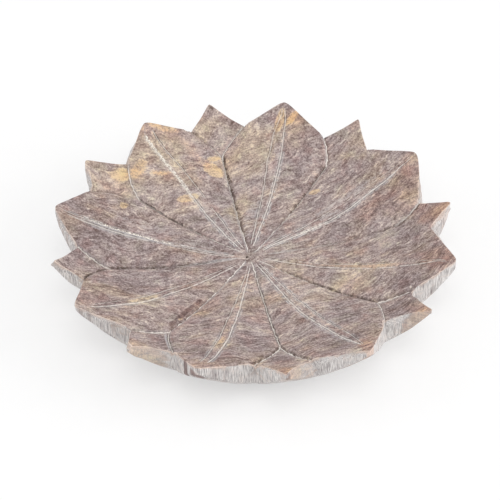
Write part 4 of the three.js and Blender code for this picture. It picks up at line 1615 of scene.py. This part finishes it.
    def cut_lines(self, graph: Graph, place: Wire, colour: Wire, speck: Wire) -> Wire:
        """Lays the scribed lines' chalk over a colour.

        A line is up to three fine strokes side by side, each broken by its own noise. The
        strokes wander a little from their places, with dust round them and painted shade as darker
        edges beside them. The whitest lines break up into sparks. Where the chalk is less than
        nothing, a dark stroke lies under the pale one.

        Args:
            graph: the material's tree.
            place: coordinates in millimetres.
            colour: the stone's colour.
            speck: fine speckle, from -0.5 to 0.5.

        Returns:
            The colour.
        """
        grain, blend, chalk = graph.grain, graph.blend, graph.mark(Mark.CHALK)
        sway = grain(place, 0.35, 2.0, 0.6) - 0.5
        cover = grain(place, 0.6, 2.0, 0.6)
        dots = grain(place, 1.9, 2.0, 0.6)
        placed = graph.mark(Mark.LINE) + sway * 0.55
        busy = chalk.step(0.9, 1.0)
        haze = (abs(placed - 0.2) + speck * 1.4).step(1.1, 0.2) * chalk.step(0.45, 0.85)
        haze = haze * (1.0 - busy * 0.6)
        colour = blend(colour, self.dust, haze * cover.step(0.38, 0.6) * 0.6)
        # Painted shade: darker edges beside the strokes.
        beside = (abs(abs(placed) - 0.32) + speck * 0.3).step(0.2, 0.05) * abs(chalk).step(0.1, 0.5)
        colour = blend(colour, self.dirt, beside * cover.step(0.4, 0.6) * 0.7)
        stain = (abs(placed) + speck * 0.5).step(0.3, 0.1) * chalk.step(-0.1, -0.7)
        colour = blend(colour, self.dirt, stain * dots.step(0.4, 0.56) * 0.8)
        for offset, scale, start, slope, strength in self.strokes:
            gaps = grain(place, scale, 3.0, 0.7)
            kept = (gaps + abs(chalk).at_most(0.9) * slope).step(start, start + 0.2)
            stroke = (abs(placed - offset + sway * offset) + speck * 0.2).step(0.24, 0.08)
            shown = stroke * kept * (dots.step(0.38, 0.56) * 0.4 + 0.6)
            shown = shown * (1.0 - busy * abs(offset)) * strength
            colour = blend(colour, self.cream, shown * (abs(chalk) * 0.5 + 0.5))
        spark = dots.step(0.48, 0.53) * chalk.step(0.88, 0.97)
        near = (abs(placed + 0.06) + speck * 0.6).step(0.52, 0.34)
        return blend(colour, self.bright, near * spark)

    def wall_colour(self, graph: Graph, place: Wire, layers: Wire, top: Wire) -> Wire:
        """Colour of the raw filed walls and underside: pale, streaked down the file's strokes.

        Where the stone is marked as beige, the colour of the top shows through the filed skin.

        Args:
            graph: the material's tree.
            place: coordinates in millimetres.
            layers: coordinates of the broad layers.
            top: the colour of the top.

        Returns:
            The colour.
        """
        mark, grain, blend = graph.mark, graph.grain, graph.blend
        strokes = self.file_marks(graph, place) - 0.5
        bands = grain(graph.cells(place, self.band_cell), 1.0, 3.0, 0.6) - 0.5
        broad = grain(layers, 0.8, 3.0, 0.6)
        slow = broad - 0.5
        tone = strokes * 4.2 + bands * 0.5 + slow * 0.9
        colour = blend(self.wall_dark, self.wall_pale, (tone + 0.6).held())
        warmth = (broad + bands * 0.6).step(0.5, 0.7) * 0.2
        stain = (mark(Mark.RUST) + slow * 0.8).step(0.7, 1.4) * 0.85
        colour = blend(colour, self.rust_tint, warmth.at_least(stain), "MULTIPLY")
        bare = (mark(Mark.BEIGE) + (slow * 2.0 + strokes * 1.6 + bands * 0.6)).step(0.4, 0.9)
        colour = blend(colour, blend(top, self.tan, 0.25), bare * 0.8)
        vein = (mark(Mark.PEAT) + bands * 1.4).step(0.25, 0.75)
        return blend(colour, self.peat_tint, vein * mark(Mark.PEAT).held(), "MULTIPLY")


# The dish itself


@dataclass(frozen=True)
class LotusDish:
    """The carved stone: its fine surface, its hand wander and its finish."""

    name: str = "lotus_dish_stone"
    node: str = "lotus_dish"
    slot: str = "soapstone"
    top: TopCarver = TopCarver()
    under: UnderCarver = UnderCarver()
    finish: Soapstone = Soapstone()
    weld: float = 1e-4
    wobble: float = 0.13
    wobble_cell: float = 6.5
    wobble_height: float = 3.0
    swell: float = 0.14
    swell_cell: float = 7.0
    swell_fade: float = 2.0
    tool: float = 0.05
    tool_cell: float = 2.2
    facet_slope: float = 0.6
    facet_fade: float = 4.5
    flare_start: float = 1.6
    flare_rise: float = 9.0
    flare_soft: float = 1.5
    flake: float = 0.35
    flake_cell: float = 0.9
    chip_edge: float = 2.5
    chip_soft: float = 1.3
    chip_lowest: float = 4.0
    chip_rise: float = 4.0
    chip_inward: float = 0.5
    chip_down: float = 0.8

    @staticmethod
    def faces_of(rows: int, columns: int, first: int) -> Array:
        """Two triangles for each cell of a grid of points.

        Args:
            rows: how many rows the grid has.
            columns: how many points each row has.
            first: number of the grid's first point.

        Returns:
            Three point numbers for each triangle.
        """
        near = np.arange(rows - 1)[:, None] * columns + np.arange(columns - 1)[None, :]
        far = near + columns
        triangles = np.stack([near, near + 1, far + 1, near, far + 1, far], axis=-1)
        return triangles.reshape(-1, 3) + first

    def welded(self, patches: Sequence[Patch]) -> tuple[Array, Array, dict[Mark, Array]]:
        """Joins patches into one closed surface.

        Points that agree to the weld distance become one, and a triangle that has lost a corner
        is left out.

        Args:
            patches: the patches, whose shared edges hold the same points.

        Returns:
            Points, triangles and the marks of each point.
        """
        points = np.vstack([patch.points.reshape(-1, 3) for patch in patches])
        faces, first = [], 0
        for patch in patches:
            rows, columns = patch.points.shape[:2]
            faces.append(self.faces_of(rows, columns, first))
            first += rows * columns
        keys = np.round(points / self.weld).astype(np.int64)
        _, kept, place = np.unique(keys, axis=0, return_index=True, return_inverse=True)
        triangles = place.reshape(-1)[np.vstack(faces)]
        a, b, c = triangles.T
        triangles = triangles[(a != b) & (b != c) & (c != a)]
        marks = {
            mark: np.concatenate([patch.marks[mark].ravel() for patch in patches])[kept]
            for mark in Mark
        }
        return points[kept], triangles, marks

    def hand_wander(self, points: Array, marks: dict[Mark, Array]) -> Array:
        """Moves the points as uneven hand work would.

        Every point moves in plan by smooth noise, and the top swells and dips by two finer
        noises that fade out down the walls. A facet slopes down from its inner edge to the rim.
        A flare moves the wall outwards below the rim. Chips press the points near them inwards
        and down.

        Args:
            points: the even surface.
            marks: the marks of each point.

        Returns:
            The uneven surface.
        """
        plan, level, rim = points[:, :2], points[:, 2], marks[Mark.RIM]
        below = np.maximum(0.0, -rim)
        moved = points.copy()
        seeds = (Seed.SWAY_X, Seed.SWAY_Y)
        sway = np.stack([noise(points, self.wobble_cell, seed) for seed in seeds], axis=1)
        moved[:, :2] += self.wobble * smooth(level / self.wobble_height)[:, None] * sway
        on_top = smooth(1.0 + rim / self.swell_fade) * (1.0 - marks[Mark.UNDER])
        lift = self.swell * noise(points, self.swell_cell, Seed.SWELL)
        lift = lift + self.tool * noise(points, self.tool_cell, Seed.TOOL)
        moved[:, 2] += lift * on_top
        slanted = np.maximum(0.0, marks[Mark.FACET] - np.maximum(0.0, rim))
        moved[:, 2] -= self.facet_slope * slanted * smooth(1.0 - below / self.facet_fade)
        past_base = np.linalg.norm(plan, axis=1) - self.under.form.base_radius
        rising = smooth(past_base / self.flare_rise)
        for flare in FLARES:
            away = np.linalg.norm(plan - np.array([flare.x, flare.y]), axis=1)
            near = smooth(self.flare_soft - away / flare.reach)
            out = flare.out * near * smooth(below / self.flare_start)
            moved[:, :2] += unit(plan) * (out * rising)[:, None]
        ragged = 1.0 + self.flake * noise(points, self.flake_cell, Seed.FLAKE)
        high = smooth((level - self.chip_lowest) / self.chip_rise)
        for chip in CHIPS:
            centre = np.array([chip.x, chip.y])
            away = np.linalg.norm(plan - centre, axis=1) * ragged
            bite = chip.depth * smooth(self.chip_soft - away / chip.width) * high
            inward = self.chip_inward * bite * (np.abs(rim) < self.chip_edge)
            moved[:, :2] -= unit(centre) * inward[:, None]
            moved[:, 2] -= self.chip_down * bite * on_top
        return moved

    def build(self) -> bpy.types.Object:
        """Makes the stone, in metres, and puts it in the scene.

        Returns:
            The stone.
        """
        patches, rim = self.top.carve()
        patches.append(self.under.carve(rim))
        points, triangles, marks = self.welded(patches)
        for mark, ovals in STAINS.items():
            covers = np.stack([oval.cover(points) for oval in ovals])
            marks[mark] = np.maximum(covers.max(axis=0), marks[mark])
        piece = make_mesh(self.name, self.hand_wander(points, marks) * MM, triangles)
        for mark, values in marks.items():
            attribute = piece.data.attributes.new(mark.value, "FLOAT", "POINT")
            attribute.data.foreach_set("value", values.astype(np.float32))
        edges = np.sort(triangles[:, [0, 1, 1, 2, 2, 0]].reshape(-1, 2), axis=1)
        _, uses = np.unique(edges, axis=0, return_counts=True)
        log.info("stone: %d triangles, %d open edges", len(triangles), int((uses != 2).sum()))
        self.finish.dress(piece)
        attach(piece, "root")
        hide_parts(self.node)
        return piece


def make_mesh(name: str, points: Array, triangles: Array) -> bpy.types.Object:
    """Puts a smooth-shaded triangle mesh into the scene.

    Args:
        name: the object's name.
        points: places in metres.
        triangles: three point numbers for each face.

    Returns:
        The new object, at the origin.
    """
    mesh = bpy.data.meshes.new(name)
    mesh.vertices.add(len(points))
    mesh.vertices.foreach_set("co", points.astype(np.float32).ravel())
    mesh.loops.add(triangles.size)
    mesh.loops.foreach_set("vertex_index", triangles.astype(np.int32).ravel())
    mesh.polygons.add(len(triangles))
    mesh.polygons.foreach_set("loop_start", np.arange(0, triangles.size, 3, dtype=np.int32))
    mesh.polygons.foreach_set("use_smooth", np.ones(len(triangles), dtype=bool))
    mesh.update()
    mesh.validate()
    piece = bpy.data.objects.new(name, mesh)
    bpy.context.scene.collection.objects.link(piece)
    return piece


# The studio


@dataclass(frozen=True)
class Lamp:
    """A soft square lamp: where it hangs, what it faces, its side and its power."""

    name: str
    place: tuple[float, float, float]
    side: float
    power: float
    target: tuple[float, float, float] = (0.0, 0.0, 0.01)

    def hang(self) -> None:
        """Adds the lamp to the scene."""
        light = bpy.data.lights.new(self.name, "AREA")
        light.shape = "SQUARE"
        light.size = self.side
        light.energy = self.power
        lamp = bpy.data.objects.new(self.name, light)
        facing = (Vector(self.target) - Vector(self.place)).to_track_quat("-Z", "Y")
        lamp.matrix_world = Matrix.Translation(self.place) @ facing.to_matrix().to_4x4()
        bpy.context.scene.collection.objects.link(lamp)


@dataclass(frozen=True)
class Studio:
    """White table, soft lamps and the photograph's viewpoint."""

    azimuth: float = 12.6
    elevation: float = 42.514
    distance: float = 0.72
    roll: float = 1.0466
    focal_pixels: float = 2422.34
    frame_pixels: float = 500.0
    aim: tuple[float, float, float] = (0.0, 0.0, 0.008)
    aim_pixel: Pair = (250.37, 256.47)
    sensor: float = 36.0
    clip_start: float = 0.01
    table_side: float = 4.0
    table_colour: Colour = (0.99, 0.99, 0.99)
    table_lift: float = 0.45
    ambient: float = 0.75
    lamps: tuple[Lamp, ...] = (
        Lamp("overhead", (0.15, -0.45, 1.4), 1.0, 3.6),
        Lamp("right", (1.25, 0.2, 0.45), 0.8, 6.5),
        Lamp("left", (-1.2, -0.1, 0.5), 0.8, 2.2),
    )

    def build(self) -> None:
        """Adds the table, the lamps, the world and the camera."""
        self.add_table()
        self.light_world()
        for lamp in self.lamps:
            lamp.hang()
        self.add_camera()
        bpy.context.scene.view_settings.view_transform = "Standard"

    def add_table(self) -> None:
        """A wide white plane under the dish, partly lit by itself where it is seen."""
        half = 0.5 * self.table_side
        corners = half * np.array([[-1, -1, 0], [1, -1, 0], [1, 1, 0], [-1, 1, 0]])
        table = make_mesh("table", corners, np.array([[0, 1, 2], [0, 2, 3]]))
        material = bpy.data.materials.new("table_white")
        graph = Graph.emptied(material)
        lit = graph.node("ShaderNodeBsdfPrincipled", {}, {
            "Base Color": (*self.table_colour, 1.0), "Roughness": 0.9, "Specular IOR Level": 0.0,
        })
        plain = graph.node("ShaderNodeEmission", {}, {"Color": WHITE, "Strength": 1.0})
        share = graph.seen() * self.table_lift
        graph.finish(graph.node("ShaderNodeMixShader", {}, [share, lit, plain]))
        table.data.materials.append(material)

    def light_world(self) -> None:
        """Even white surroundings, which the camera and sharp reflections see as plain white."""
        world = bpy.data.worlds.new("studio")
        bpy.context.scene.world = world
        graph = Graph.emptied(world)
        strength = graph.seen() * (1.0 - self.ambient) + self.ambient
        sky = graph.node("ShaderNodeBackground", {}, {"Color": WHITE, "Strength": strength})
        graph.finish(sky, "ShaderNodeOutputWorld")

    def add_camera(self) -> None:
        """The camera at the photograph's viewing angle, turned a little to place the dish."""
        side, height = math.radians(self.azimuth), math.radians(self.elevation)
        level = math.cos(height)
        back = Vector((math.sin(side) * level, -math.cos(side) * level, math.sin(height)))
        data = bpy.data.cameras.new("camera")
        data.sensor_width = self.sensor
        data.lens = self.focal_pixels / self.frame_pixels * self.sensor
        data.clip_start = self.clip_start
        camera = bpy.data.objects.new("camera", data)
        half = 0.5 * self.frame_pixels
        pan, tilt = (math.atan((pixel - half) / self.focal_pixels) for pixel in self.aim_pixel)
        camera.matrix_world = (
            Matrix.Translation(Vector(self.aim) + back * self.distance)
            @ (-back).to_track_quat("-Z", "Y").to_matrix().to_4x4()
            @ Matrix.Rotation(-math.radians(self.roll), 4, "Z")
            @ (Matrix.Rotation(tilt, 4, "X") @ Matrix.Rotation(pan, 4, "Y"))
        )
        bpy.context.scene.collection.objects.link(camera)
        bpy.context.scene.camera = camera


def main() -> None:
    """Builds the studio and the dish, and logs a line about each."""
    logging.basicConfig(level=logging.INFO, format="%(name)s: %(message)s")
    Studio().build()
    log.info("studio: camera, table and lamps")
    dish = LotusDish().build()
    log.info("%s rides on root", dish.name)


if __name__ == "__main__":
    main()
